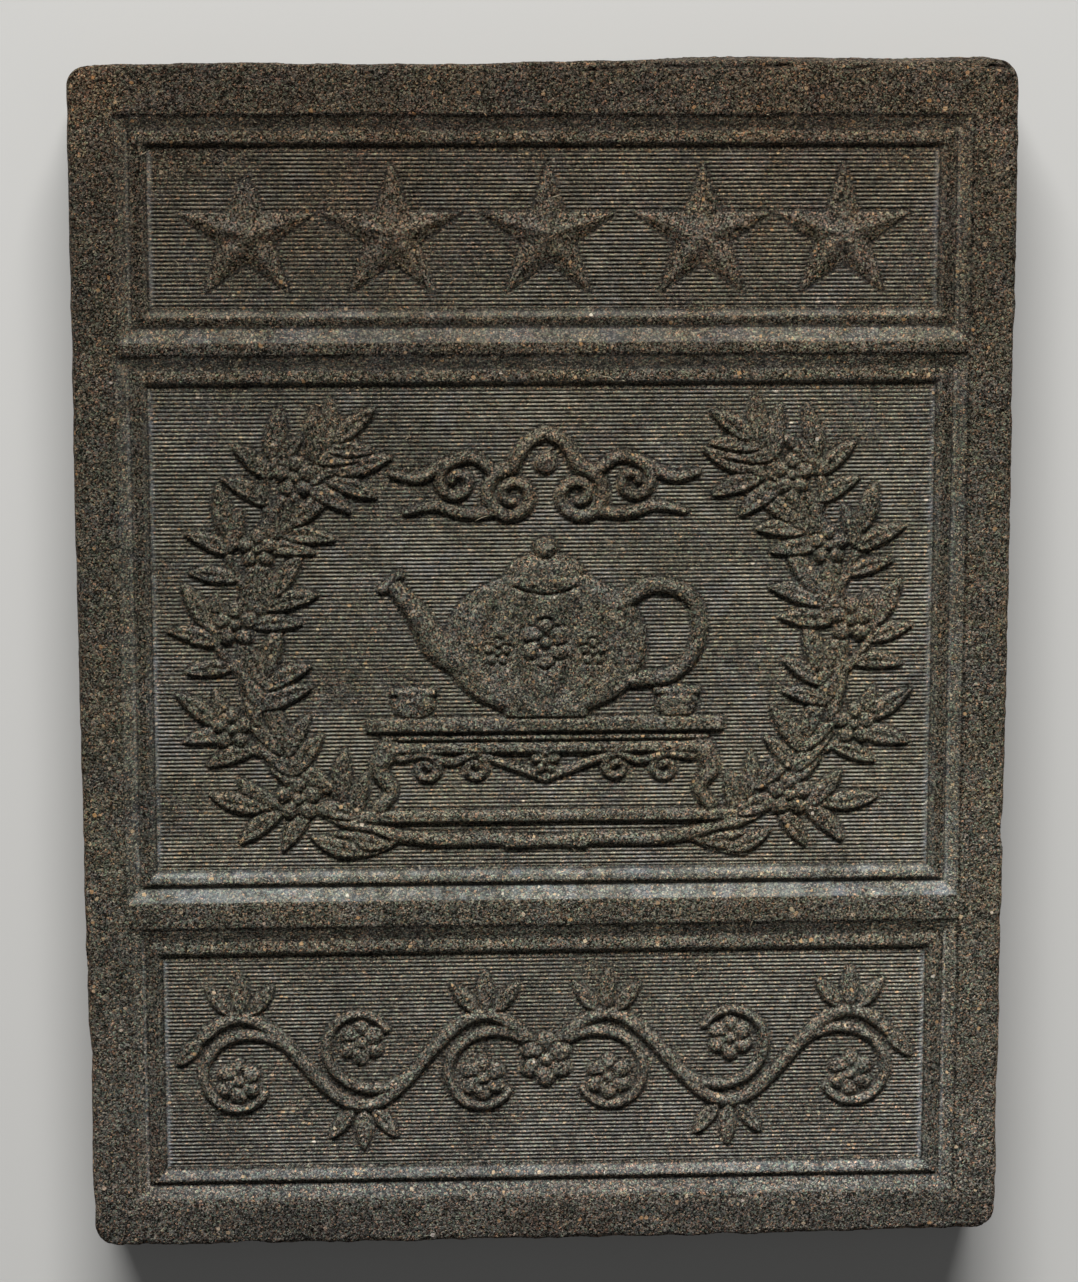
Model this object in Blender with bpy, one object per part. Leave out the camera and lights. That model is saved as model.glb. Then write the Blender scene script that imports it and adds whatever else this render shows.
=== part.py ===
"""Pressed tea brick: one solid slab of compressed tea with three moulded panels on its face.

The slab lies on its plain back, with its face up (+Z), its width along X and its height along Y.
The origin is at the middle of the underside. Panel 1 has a row of five stars, panel 2 a tea pot on a
low stand inside two crossed tea branches, and panel 3 a running scroll of buds and leaves.
"""

import math
import random

import bmesh
import bpy
from mathutils import Matrix

MM = 0.001  # all the sizes below are millimetres

# The slab.
WIDTH = 187.0
HEIGHT = 242.0
THICKNESS = 23.0
CORNER_RADIUS = 5.5
EDGE_ROUND = 1.1
SIDE_STEP = 11.0  # distance between the points of the slab's outline
SIDE_WANDER = 0.35  # how far the pressed sides wander in and out

# The panels: half width, then the lowest and highest Y of each, at the top of the sloped sides.
PANEL_HALF_WIDTH = 84.4
STAR_PANEL = (65.6, 110.7)
PICTURE_PANEL = (-48.6, 63.6)
SCROLL_PANEL = (-111.5, -53.3)

# The moulding round a panel, from its outer edge inwards: inset, depth below the slab's face.
GROUND_DEPTH = 2.0
MOULDING = (
    (0.0, 0.0), (0.12, 0.38), (1.6, 1.2), (2.95, 1.95), (3.25, 1.55), (3.85, 0.98),
    (4.6, 0.8), (5.35, 1.0), (5.95, 1.6), (6.25, GROUND_DEPTH),
)
DIE_CLEARANCE = 2.0  # how far a die reaches above the slab's face

# Chips out of the slab's rim: X, Y, Z and radius of what broke away.
CHIPS = (
    (-94.6, -82.0, 19.0, 2.6), (-95.0, 1.5, 22.8, 2.4), (-95.3, -60.0, 22.4, 2.8), (-62.0, -122.6, 21.6, 3.0),
    (-14.0, -122.8, 20.4, 2.9), (37.0, -122.4, 22.2, 2.6), (72.0, -122.6, 19.8, 2.9), (94.9, 31.0, 22.6, 2.4),
    (95.2, -35.0, 21.6, 2.9), (94.8, 84.0, 23.0, 2.3), (58.0, 122.4, 23.2, 3.0), (84.0, 122.6, 22.6, 3.4),
    (30.0, 122.5, 23.4, 2.6), (-40.0, 122.6, 23.4, 2.5),
)

# How the relief stands on the ribbed ground.
GROUND_Z = THICKNESS - GROUND_DEPTH
SINK = 0.35  # how deep each flat-footed piece of relief is rooted below the ground
ROUND_SINK = 0.15  # how far below the ground the middle of each rounded piece lies
GROUND_MARGIN = 1.2  # leaves keep this far inside the ground of the picture
FLOWER_CLEARANCE = 4.0  # and their middles this far from the middle of a flower
GROUND_HALF_WIDTH = PANEL_HALF_WIDTH - MOULDING[-1][0]

# Stars.
STAR_X = (-58.7, -30.1, 0.6, 31.1, 58.9)
STAR_Y = 87.0
STAR_RADIUS = 14.6
STAR_NOTCH = 0.382
STAR_TURN = 18.0
STAR_RISE = 1.9

# Tea pot, stand and cloud.
PICTURE_Y = 7.5
BOARD_BEVEL = 0.4
PETAL_LIMIT = 2.2  # domes up to this half length are petals
PETAL_SINK = 0.3  # how deep a petal is rooted, as a share of its rise
POT_Y = 4.4
POT_HALF_WIDTH = 19.0
POT_HALF_HEIGHT = 13.4
POT_LOBES = 7
CLOUD_Y = 37.0

# One of the two branches, from its cut end: X, Y above the middle of the picture, radius.
BRANCH = (
    (-8.0, -44.6, 0.8), (8.0, -43.6, 1.3), (26.0, -43.2, 1.4), (42.0, -38.6, 1.4), (54.0, -28.0, 1.3),
    (59.5, -12.0, 1.2), (59.5, 6.0, 1.1), (55.5, 21.0, 1.0), (47.5, 33.0, 0.9),
)
TWIG_COUNT = 12
TWIG_SHARES = (0.27, 0.95)  # shares of the branch where the first and the last twig leave it
# Outer and inner twigs take turns: turn from the branch, length, curl.
TWIG_KINDS = ((-52, 12.5, 30), (48, 9.5, -16))
BRANCH_BLOSSOMS = (
    (49.6, -34.6, 4.6), (62.6, -20.0, 4.2), (61.6, 1.6, 4.6), (57.0, 17.0, 4.0), (49.5, 31.5, 4.2),
)
LEAF_LENGTH = 11.0
LEAF_SLIM = 0.38
LEAF_RISE = 1.15

# Running scroll.
SCROLL_Y = -82.35
SCROLL_REACH = 70.5
SCROLL_WAVE = 50.0
SCROLL_SWING = 9.6

STRAND_LIMIT = 1.6  # strands wider than this are rounder


class Relief:
    """What stands on the ribbed ground, in millimetres on the slab's face."""

    def __init__(self):
        self.leaves = []  # x, y, heading, length, width, bend
        self.strands = []  # rows of x, y, radius; rise
        self.domes = []  # x, y, half length, half width, turn, rise
        self.boards = []  # x0, y0, x1, y1, rise


def polar(radius, degrees):
    """The X and Y of a point at this radius and angle."""
    angle = math.radians(degrees)
    return radius * math.cos(angle), radius * math.sin(angle)


def smooth(points, steps):
    """A Catmull-Rom line through rows of numbers."""
    rows = [points[0], *points, points[-1]]
    line = []
    for before, start, end, after in zip(rows, rows[1:], rows[2:], rows[3:]):
        for k in range(steps):
            t = k / steps
            line.append(tuple(
                0.5 * (2 * q + (r - p) * t + (2 * p - 5 * q + 4 * r - s) * t**2 + (3 * q - p - 3 * r + s) * t**3)
                for p, q, r, s in zip(before, start, end, after)
            ))
    line.append(tuple(points[-1]))
    return line


def rolled(x, y, outer, inner, start, sweep, thick, thin, steps, ease=1.0):
    """A spiral strand round a point, from its outer radius to its inner one, closing in faster as ease rises."""
    rows = []
    for i in range(steps + 1):
        t = i / steps
        dx, dy = polar(inner + (outer - inner) * (1 - t) ** ease, start + sweep * t)
        rows.append((x + dx, y + dy, thick + (thin - thick) * t))
    return rows


def handed(rows, side):
    """The rows as they are for side 1, mirrored in X for side -1."""
    return [(side * x, y, radius) for x, y, radius in rows]


def add_leaf(relief, side, x, y, heading, length, bend, slim=LEAF_SLIM):
    """One leaf from its foot at x, y."""
    if side < 0:
        x, heading, bend = -x, 180 - heading, -bend
    relief.leaves.append((x, y, heading, length, length * slim, bend))


def add_sprig(relief, chance, side, x, y, heading, length, pairs, curl):
    """A twig with pairs of leaves along it and one leaf at its tip."""
    steps = 2
    rows = [(x, y, 0.8)]
    turned = heading
    for i in range(steps):
        turned += curl / steps
        dx, dy = polar(length / steps, turned)
        rows.append((rows[-1][0] + dx, rows[-1][1] + dy, 0.8 - 0.1 * i))
    relief.strands.append((handed(rows, side), 1.0))
    for k in range(pairs):
        t = (k + 0.6) / (pairs + 0.25)
        i = min(int(t * steps), steps - 1)
        f = t * steps - i
        foot_x, foot_y = (rows[i][axis] * (1 - f) + rows[i + 1][axis] * f for axis in (0, 1))
        for hand in (1, -1):
            opened = 44 - 6 * t + chance.uniform(-6, 6)
            size = LEAF_LENGTH * chance.uniform(0.86, 1.06)
            bend = -hand * chance.uniform(6, 18)
            add_leaf(relief, side, foot_x, foot_y, heading + curl * t + hand * opened, size, bend)
    size = LEAF_LENGTH * chance.uniform(0.95, 1.05)
    add_leaf(relief, side, rows[-1][0], rows[-1][1], turned + chance.uniform(-6, 6), size, chance.uniform(-10, 10))


def add_blossom(relief, x, y, size, petals=5, rise=1.5):
    """A flower: petals round a button."""
    for k in range(petals):
        turn = 90 + 360 / petals * k
        dx, dy = polar(0.58 * size, turn)
        relief.domes.append((x + dx, y + dy, 0.46 * size, 0.38 * size, turn, rise))
    relief.domes.append((x, y, 0.27 * size, 0.27 * size, 0, rise * 1.15))


def add_pot(relief):
    """The melon-shaped tea pot. Returns the Y that it stands on."""
    for k in range(POT_LOBES):
        round_pot = math.radians(-90 + 180 * (k + 0.5) / POT_LOBES)
        rows = []
        for step in range(7):
            up = math.radians(-72 + 24 * step)
            rows.append((
                POT_HALF_WIDTH * math.sin(round_pot) * math.cos(up) ** 0.8,
                POT_Y + POT_HALF_HEIGHT * math.sin(up),
                (0.9 + 3.7 * math.cos(round_pot)) * math.cos(up) ** 0.7 + 0.2,
            ))
        relief.strands.append((rows, 1.05 + 0.65 * math.cos(round_pot)))
    top, foot = POT_Y + POT_HALF_HEIGHT, POT_Y - POT_HALF_HEIGHT
    relief.boards.append((-8.8, top - 1.4, 8.8, top + 0.8, 1.45))
    relief.domes.append((0.0, top + 1.2, 7.8, 4.2, 0, 1.5))
    relief.domes.append((0.0, top + 6.4, 2.4, 2.2, 0, 1.6))
    relief.boards.append((-8.4, foot - 1.6, 8.4, foot + 0.6, 1.4))
    spout = ((-15.0, -3.5, 4.0), (-21.5, -0.5, 3.1), (-25.5, 6.0, 2.2), (-30.5, 12.5, 1.6))
    lip = ((-32.6, 11.6, 1.0), (-29.2, 14.6, 1.0))
    handle = (
        (14.5, 8.0, 1.9), (21.5, 12.0, 1.7), (29.3, 9.4, 1.6), (30.8, 0.6, 1.5), (25.8, -6.2, 1.5),
        (16.5, -7.4, 1.7),
    )
    for points, steps, rise in ((spout, 3, 1.5), (lip, 1, 1.3), (handle, 3, 1.4)):
        rows = [(x, POT_Y + y, radius) for x, y, radius in points]
        relief.strands.append((smooth(rows, steps), rise))
    return foot - 1.6


def add_stand(relief, top):
    """The low stand under the pot, with two cups on it."""
    relief.boards.append((-36.0, top - 3.0, 36.0, top, 1.4))
    relief.boards.append((-33.0, top - 4.8, 33.0, top - 3.6, 0.9))
    relief.boards.append((-34.0, top - 7.4, 34.0, top - 5.2, 1.2))
    relief.boards.append((-38.0, top - 21.8, 38.0, top - 19.4, 1.2))
    leg = ((31.4, top - 6.6, 2.2), (33.6, top - 10.6, 1.9), (31.2, top - 15.0, 1.4), (33.4, top - 18.4, 1.5))
    apron = (
        (29.6, top - 8.4, 0.9), (24.2, top - 7.6, 0.9), (19.0, top - 9.2, 0.9), (14.4, top - 7.6, 0.9),
        (8.6, top - 9.4, 0.9), (0.0, top - 12.6, 1.0),
    )
    for side in (1, -1):
        cup = side * 26.6
        relief.domes.append((cup, top + 3.2, 4.4, 3.5, 0, 1.3))
        relief.boards.append((cup - 4.7, top + 4.6, cup + 4.7, top + 6.2, 1.25))
        relief.boards.append((cup - 2.6, top + 0.2, cup + 2.6, top + 1.3, 1.1))
        relief.strands.append((handed(smooth(leg, 2), side), 1.35))
        relief.strands.append((handed(smooth(apron, 2), side), 1.1))
        for x, y, outer in ((24.2, top - 10.6, 3.0), (14.4, top - 10.4, 2.8)):
            relief.strands.append((handed(rolled(x, y, outer, 0.7, 90, 420, 0.95, 0.7, 10), side), 1.1))
    add_blossom(relief, 0.0, top - 9.0, 2.9)


def add_cloud(relief, y):
    """The rolled cloud over the pot."""
    arch = ((6.6, y + 3.6, 1.45), (3.8, y + 8.4, 1.4), (0.0, y + 10.6, 1.4))
    upper_tail = (
        (10.4, y + 2.8, 1.2), (14.6, y + 5.8, 1.25), (19.4, y + 4.6, 1.25), (25.2, y + 1.6, 1.2),
        (30.4, y + 2.4, 0.8),
    )
    lower_tail = ((10.6, y - 5.4, 1.1), (16.4, y - 5.8, 1.2), (22.0, y - 4.2, 1.1), (28.0, y - 5.4, 0.6))
    for side in (1, -1):
        relief.strands.append((handed(rolled(6.6, y - 2.0, 5.6, 1.2, 90, -540, 1.45, 1.0, 14), side), 1.3))
        relief.strands.append((handed(rolled(17.6, y + 0.8, 4.0, 1.0, 70, -420, 1.25, 0.9, 11), side), 1.2))
        relief.strands.append((handed(smooth(arch, 3), side), 1.3))
        relief.strands.append((handed(smooth(upper_tail, 2), side), 1.2))
        relief.strands.append((handed(smooth(lower_tail, 2), side), 1.15))
    relief.domes.append((0.0, y + 4.6, 2.4, 2.4, 0, 1.3))


def add_branches(relief):
    """The two tea branches that cross under the stand and rise on either side of the pot."""
    line = smooth([(x, y + PICTURE_Y, radius) for x, y, radius in BRANCH], 3)
    last = len(line) - 1
    for side in (1, -1):
        chance = random.Random(7 + side)
        relief.strands.append((handed(line, side), 1.25))
        for n in range(TWIG_COUNT):
            share = TWIG_SHARES[0] + (TWIG_SHARES[1] - TWIG_SHARES[0]) * n / (TWIG_COUNT - 1)
            turn, length, curl = TWIG_KINDS[n % 2]
            i = min(int(share * last), last - 1)
            f = share * last - i
            x, y = (line[i][axis] * (1 - f) + line[i + 1][axis] * f for axis in (0, 1))
            heading = math.degrees(math.atan2(line[i + 1][1] - line[i][1], line[i + 1][0] - line[i][0]))
            add_sprig(relief, chance, side, x, y, heading + turn, length, 2, curl)
        x, y = line[-1][:2]
        heading = math.degrees(math.atan2(y - line[-3][1], x - line[-3][0]))
        add_sprig(relief, chance, side, x, y, heading, 8.0, 2, 16)
        for x, y, size in BRANCH_BLOSSOMS:
            add_blossom(relief, side * x, y + PICTURE_Y, size)


def add_scroll(relief):
    """The running scroll, from the flower in its middle to either side.

    A stem waves outwards; in each hollow a tendril rolls round a bud, and leaves stand on each crest.
    """
    steps = 24
    for side in (1, -1):
        rows = []
        for i in range(steps + 1):
            x = SCROLL_REACH * i / steps
            rows.append((x, SCROLL_Y + SCROLL_SWING * math.sin(2 * math.pi * x / SCROLL_WAVE), 1.35))
        relief.strands.append((handed(rows, side), 1.3))
        add_leaf(relief, side, rows[-1][0], rows[-1][1], -48, 7.5, -6, 0.45)
        for k in range(3):
            x = SCROLL_WAVE / 2 * (k + 0.5)
            up = 1 - 2 * (k % 2)
            y = SCROLL_Y - up * 4.0
            tendril = rolled(x + 0.4, y, 12.8, 5.9, up * 153, up * -305, 1.2, 0.8, 15, 2.6)
            relief.strands.append((handed(tendril, side), 1.2))
            add_blossom(relief, side * (x + 0.4), y, 4.7, 6, 1.25)
            crest = SCROLL_Y + up * (SCROLL_SWING + 0.6)
            for turn, length, shift in ((128, 8.0, -2.0), (90, 9.0, 0.0), (52, 8.0, 2.0)):
                add_leaf(relief, side, x + shift, crest, up * turn, length, 0, 0.42)
    add_blossom(relief, 0.0, SCROLL_Y, 5.6, 6, 1.45)


def leaf_points(leaf, share, across):
    """X and Y of a place on a leaf: share of its length, and across from -1 to 1 of its half width."""
    x, y, heading, length, width, bend = leaf
    half = width / 2 * math.sin(math.pi * min(max(share, 0.0), 1.0) ** 0.85) ** 0.8 if 0 < share < 1 else 0.0
    along = share * length
    aside = across * half + math.tan(math.radians(bend)) * length * share * (1 - share) * 0.9
    turn_x, turn_y = polar(1.0, heading)
    return x + along * turn_x - aside * turn_y, y + along * turn_y + aside * turn_x


def keeps_clear(leaf, low, high):
    """True if the leaf's tip and middle lie on the panel's ground and its middle covers no flower."""
    middle, tip = (leaf_points(leaf, share, 0.0) for share in (0.6, 1.0))
    inside = all(
        abs(x) < GROUND_HALF_WIDTH - GROUND_MARGIN and low + GROUND_MARGIN < y < high - GROUND_MARGIN
        for x, y in (middle, tip)
    )
    return inside and all(
        math.dist((abs(middle[0]), middle[1]), (x, y + PICTURE_Y)) > FLOWER_CLEARANCE for x, y, _ in BRANCH_BLOSSOMS
    )


def lay_out_relief():
    """The whole relief of the three panels."""
    relief = Relief()
    add_stand(relief, add_pot(relief))
    add_cloud(relief, CLOUD_Y)
    add_branches(relief)
    inset = MOULDING[-1][0]
    low, high = PICTURE_PANEL[0] + inset, PICTURE_PANEL[1] - inset
    relief.leaves = [leaf for leaf in relief.leaves if keeps_clear(leaf, low, high)]
    add_scroll(relief)
    return relief


def tea_material():
    """Dark brown compressed tea with a dull surface."""
    material = bpy.data.materials.new("pressed_tea")
    material.use_nodes = True
    shader = material.node_tree.nodes["Principled BSDF"]
    shader.inputs["Base Color"].default_value = (0.048, 0.040, 0.030, 1.0)
    shader.inputs["Roughness"].default_value = 0.72
    shader.inputs["Metallic"].default_value = 0.0
    return material


def put(name, data, collection):
    """A new object with this mesh or curve, in this collection."""
    piece = bpy.data.objects.new(name, data)
    collection.objects.link(piece)
    return piece


def put_tool(name, mesh, collection):
    """A cutter, or a piece that is about to be fused: drawn as wire and never rendered."""
    piece = put(name, mesh, collection)
    piece.hide_render = True
    piece.display_type = "WIRE"
    return piece


def mesh_from(shape, name):
    """Turns a bmesh in millimetres into a mesh in metres, with its faces pointing out."""
    bmesh.ops.recalc_face_normals(shape, faces=shape.faces)
    bmesh.ops.scale(shape, vec=(MM, MM, MM), verts=shape.verts)
    mesh = bpy.data.meshes.new(name)
    shape.to_mesh(mesh)
    shape.free()
    return mesh


def mesh_of_curve(curve, collection):
    """The mesh that a curve makes, with the curve itself removed."""
    guide = put("guide", curve, collection)
    mesh = bpy.data.meshes.new_from_object(guide.evaluated_get(bpy.context.evaluated_depsgraph_get()))
    bpy.data.objects.remove(guide)
    return mesh


def add_ring(shape, points, z):
    """A closed ring of vertices at one height."""
    return [shape.verts.new((x, y, z)) for x, y in points]


def join_rings(shape, lower, upper):
    """Side faces between two rings of the same count."""
    count = len(lower)
    for i in range(count):
        after = (i + 1) % count
        shape.faces.new((lower[i], lower[after], upper[after], upper[i]))


def slab_outline():
    """The slab's outline: a rounded rectangle whose sides wander a little, as pressed tea does."""
    half_w, half_h, radius = WIDTH / 2, HEIGHT / 2, CORNER_RADIUS
    chance = random.Random(3)
    points = []
    corners = ((1, 1, 0), (-1, 1, 90), (-1, -1, 180), (1, -1, 270))
    for index, (sx, sy, start) in enumerate(corners):
        centre = (sx * (half_w - radius), sy * (half_h - radius))
        for k in range(5):
            dx, dy = polar(radius, start + 22.5 * k)
            points.append((centre[0] + dx, centre[1] + dy))
        next_sx, next_sy, next_start = corners[(index + 1) % 4]
        dx, dy = polar(radius, next_start)
        end = (next_sx * (half_w - radius) + dx, next_sy * (half_h - radius) + dy)
        first = points[-1]
        length = math.dist(first, end)
        inward = ((first[1] - end[1]) / length, (end[0] - first[0]) / length)
        steps = round(length / SIDE_STEP)
        for k in range(1, steps):
            depth = SIDE_WANDER * chance.random()
            x = first[0] + (end[0] - first[0]) * k / steps
            y = first[1] + (end[1] - first[1]) * k / steps
            points.append((x + inward[0] * depth, y + inward[1] * depth))
    return points


def make_slab(collection):
    """The plain slab, bevelled along its upper and lower rim: a flat outline made thick."""
    curve = bpy.data.curves.new("slab_outline", "CURVE")
    curve.dimensions = "2D"
    curve.fill_mode = "BOTH"
    curve.extrude = (THICKNESS / 2 - EDGE_ROUND) * MM
    curve.bevel_depth = EDGE_ROUND * MM
    curve.bevel_resolution = 0
    curve.offset = -EDGE_ROUND * MM
    points = slab_outline()
    spline = curve.splines.new("POLY")
    spline.points.add(len(points) - 1)
    for point, (x, y) in zip(spline.points, points):
        point.co = (x * MM, y * MM, 0.0, 1.0)
    spline.use_cyclic_u = True
    shape = bmesh.new()
    shape.from_mesh(mesh_of_curve(curve, collection))
    bmesh.ops.remove_doubles(shape, verts=shape.verts, dist=0.01 * MM)
    bmesh.ops.translate(shape, vec=(0.0, 0.0, THICKNESS / 2 * MM), verts=shape.verts)
    bmesh.ops.scale(shape, vec=(1 / MM, 1 / MM, 1 / MM), verts=shape.verts)
    return put("tea_brick", mesh_from(shape, "tea_brick"), collection)


def make_die(panel, collection):
    """The press die that sinks one panel: its underside has the panel's whole moulding."""
    low, high = panel
    shape = bmesh.new()
    levels = [(MOULDING[0][0], -DIE_CLEARANCE), *MOULDING]
    rings = []
    for inset, depth in levels:
        x, y0, y1 = PANEL_HALF_WIDTH - inset, low + inset, high - inset
        rings.append(add_ring(shape, ((-x, y0), (x, y0), (x, y1), (-x, y1)), THICKNESS - depth))
    for upper, lower in zip(rings, rings[1:]):
        join_rings(shape, lower, upper)
    shape.faces.new(rings[0])
    shape.faces.new(reversed(rings[-1]))
    return put_tool("panel_die", mesh_from(shape, "panel_die"), collection)


def make_chip(x, y, z, radius, collection):
    """A crumb of tea that has broken from the rim."""
    shape = bmesh.new()
    bmesh.ops.create_icosphere(shape, subdivisions=1, radius=radius)
    bmesh.ops.scale(shape, vec=(1.0, 1.0, 0.7) if abs(x) > WIDTH * 0.49 else (1.8, 1.0, 0.7), verts=shape.verts)
    bmesh.ops.translate(shape, vec=(x, y, z), verts=shape.verts)
    return put_tool("chip", mesh_from(shape, "chip"), collection)


def star_mesh():
    """A faceted star: a ten-sided cone with every other foot drawn in, its middle on the ground."""
    shape = bmesh.new()
    deeper = 1 + SINK / STAR_RISE
    bmesh.ops.create_cone(
        shape, cap_ends=True, segments=10, radius1=STAR_RADIUS * deeper, radius2=0.0, depth=STAR_RISE + SINK
    )
    bmesh.ops.remove_doubles(shape, verts=shape.verts, dist=0.01)
    bmesh.ops.rotate(shape, matrix=Matrix.Rotation(math.radians(STAR_TURN), 3, "Z"), verts=shape.verts)
    bmesh.ops.translate(shape, vec=(0.0, 0.0, (STAR_RISE - SINK) / 2), verts=shape.verts)
    feet = sorted(
        (vertex for vertex in shape.verts if vertex.co.z < 0), key=lambda vertex: math.atan2(*vertex.co.yx)
    )
    first = max(range(10), key=lambda k: feet[k].co.y) % 2
    for vertex in feet[1 - first::2]:
        vertex.co.x *= STAR_NOTCH
        vertex.co.y *= STAR_NOTCH
    return mesh_from(shape, "star")


def make_leaf(leaf, collection):
    """A pointed leaf with a raised midrib."""
    shape = bmesh.new()
    outline = [leaf_points(leaf, share, 1.1) for share in (0.0, 0.26, 0.6)]
    outline += [leaf_points(leaf, share, -1.1) for share in (1.0, 0.6, 0.26)]
    foot = add_ring(shape, outline, GROUND_Z - SINK)
    ridge = [
        shape.verts.new((*leaf_points(leaf, share, 0.0), GROUND_Z + rise * LEAF_RISE))
        for share, rise in ((0.26, 0.95), (0.62, 1.0))
    ]
    heel, left_heel, left_tip, tip, right_tip, right_heel = foot
    near, far = ridge
    for corners in (
        (heel, near, left_heel), (heel, right_heel, near), (left_heel, near, far, left_tip),
        (right_heel, right_tip, far, near), (left_tip, far, tip), (right_tip, tip, far),
    ):
        shape.faces.new(corners)
    shape.faces.new(foot)
    return put_tool("leaf", mesh_from(shape, "leaf"), collection)


def dome_mesh(segments, rings):
    """A ball 1 mm in radius, to be flattened into a lid, a petal or a bud."""
    shape = bmesh.new()
    bmesh.ops.create_uvsphere(shape, u_segments=segments, v_segments=rings, radius=1.0)
    return mesh_from(shape, "dome")


def petal_mesh():
    """A five-sided cone 1 mm in radius that rises 1 mm above the ground."""
    shape = bmesh.new()
    depth = 1.0 + PETAL_SINK
    bmesh.ops.create_cone(shape, cap_ends=True, segments=5, radius1=depth, radius2=0.0, depth=depth)
    bmesh.ops.remove_doubles(shape, verts=shape.verts, dist=0.01)
    bmesh.ops.translate(shape, vec=(0.0, 0.0, (1.0 - PETAL_SINK) / 2), verts=shape.verts)
    return mesh_from(shape, "petal")


def place_dome(dome, meshes, collection):
    """Places one dome: a rounded one where it is large, a petal where it is small."""
    x, y, half_length, half_width, turn, rise = dome
    large = half_length > PETAL_LIMIT
    piece = put_tool("dome", meshes["dome" if large else "petal"], collection)
    sink = ROUND_SINK if large else 0.0
    piece.location = (x * MM, y * MM, (GROUND_Z - sink) * MM)
    piece.rotation_euler = (0.0, 0.0, math.radians(turn))
    piece.scale = (half_length, half_width, rise + sink)
    return piece


def make_board(x0, y0, x1, y1, rise, collection):
    """A flat bar of the stand, its upper edges bevelled."""
    shape = bmesh.new()
    bmesh.ops.create_cube(shape, size=1.0)
    bmesh.ops.scale(shape, vec=(x1 - x0, y1 - y0, rise + SINK), verts=shape.verts)
    upper = [edge for edge in shape.edges if all(vertex.co.z > 0 for vertex in edge.verts)]
    bmesh.ops.bevel(shape, geom=upper, offset=BOARD_BEVEL, segments=1, affect="EDGES")
    board = put_tool("board", mesh_from(shape, "board"), collection)
    board.location = ((x0 + x1) / 2 * MM, (y0 + y1) / 2 * MM, (GROUND_Z + (rise - SINK) / 2) * MM)
    return board


def make_strand(rows, rise, collection):
    """A rounded strand along a line, such as a stem or a scroll, as a bevelled curve turned into a mesh."""
    widest = max(row[2] for row in rows)
    curve = bpy.data.curves.new("strand", "CURVE")
    curve.dimensions = "3D"
    curve.use_fill_caps = True
    curve.bevel_depth = 1.0 * MM
    curve.bevel_resolution = 1 if widest > STRAND_LIMIT else 0
    spline = curve.splines.new("POLY")
    spline.points.add(len(rows) - 1)
    for point, (x, y, radius) in zip(spline.points, rows):
        point.co = (x * MM, y * MM, 0.0, 1.0)
        point.radius = radius
    mesh = mesh_of_curve(curve, collection)
    shape = bmesh.new()
    shape.from_mesh(mesh)
    bmesh.ops.remove_doubles(shape, verts=shape.verts, dist=0.01 * MM)
    bmesh.ops.recalc_face_normals(shape, faces=shape.faces)
    shape.to_mesh(mesh)
    shape.free()
    strand = put_tool("strand", mesh, collection)
    strand.location = (0.0, 0.0, (GROUND_Z - ROUND_SINK) * MM)
    # a strand rises to its own height, whatever its width
    strand.scale = (1.0, 1.0, (rise + ROUND_SINK) / widest)
    return strand


def fuse(target, operation, collection, solver="EXACT"):
    """Joins a collection to the target, or cuts it away, and removes the collection's objects."""
    modifier = target.modifiers.new(operation.lower(), "BOOLEAN")
    modifier.operation = operation
    modifier.operand_type = "COLLECTION"
    modifier.collection = collection
    modifier.solver = solver
    view = bpy.context.evaluated_depsgraph_get()
    mesh = bpy.data.meshes.new_from_object(target.evaluated_get(view), depsgraph=view)
    target.modifiers.remove(modifier)
    target.data = mesh
    for piece in list(collection.objects):
        bpy.data.objects.remove(piece)


def main():
    """Builds the tea brick."""
    for old in list(bpy.data.objects):
        bpy.data.objects.remove(old)
    brick_parts = bpy.data.collections.new("pressed_tea_brick")
    dies = bpy.data.collections.new("press_dies")
    relief_pieces = bpy.data.collections.new("relief_pieces")
    for collection in (brick_parts, dies, relief_pieces):
        bpy.context.scene.collection.children.link(collection)

    slab = make_slab(brick_parts)
    for panel in (STAR_PANEL, PICTURE_PANEL, SCROLL_PANEL):
        make_die(panel, dies)
    for chip in CHIPS:
        make_chip(*chip, dies)
    fuse(slab, "DIFFERENCE", dies)

    relief = lay_out_relief()
    star = star_mesh()
    for x in STAR_X:
        put_tool("star", star, relief_pieces).location = (x * MM, STAR_Y * MM, GROUND_Z * MM)
    for leaf in relief.leaves:
        make_leaf(leaf, relief_pieces)
    meshes = {"dome": dome_mesh(12, 6), "petal": petal_mesh()}
    for dome in relief.domes:
        place_dome(dome, meshes, relief_pieces)
    for board in relief.boards:
        make_board(*board, relief_pieces)
    for rows, rise in relief.strands:
        make_strand(rows, rise, relief_pieces)
    fuse(slab, "UNION", relief_pieces)

    slab.data.name = "tea_brick"
    slab.data.materials.clear()
    slab.data.materials.append(tea_material())
    for collection in (dies, relief_pieces):
        bpy.data.collections.remove(collection)


if __name__ == "__main__":
    main()
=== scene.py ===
"""Looks of a brick of pressed tea: its moulded face, crumbly rim and stray bits of stem, on a pale floor.

The brick lies on its back with its face up. Everything is worked out in millimetres on the face, whose
middle is at (0, 0), and is turned into metres as the meshes are made.
"""

import logging
import math
import random
from collections.abc import Sequence
from dataclasses import dataclass, field
from enum import Enum

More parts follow.
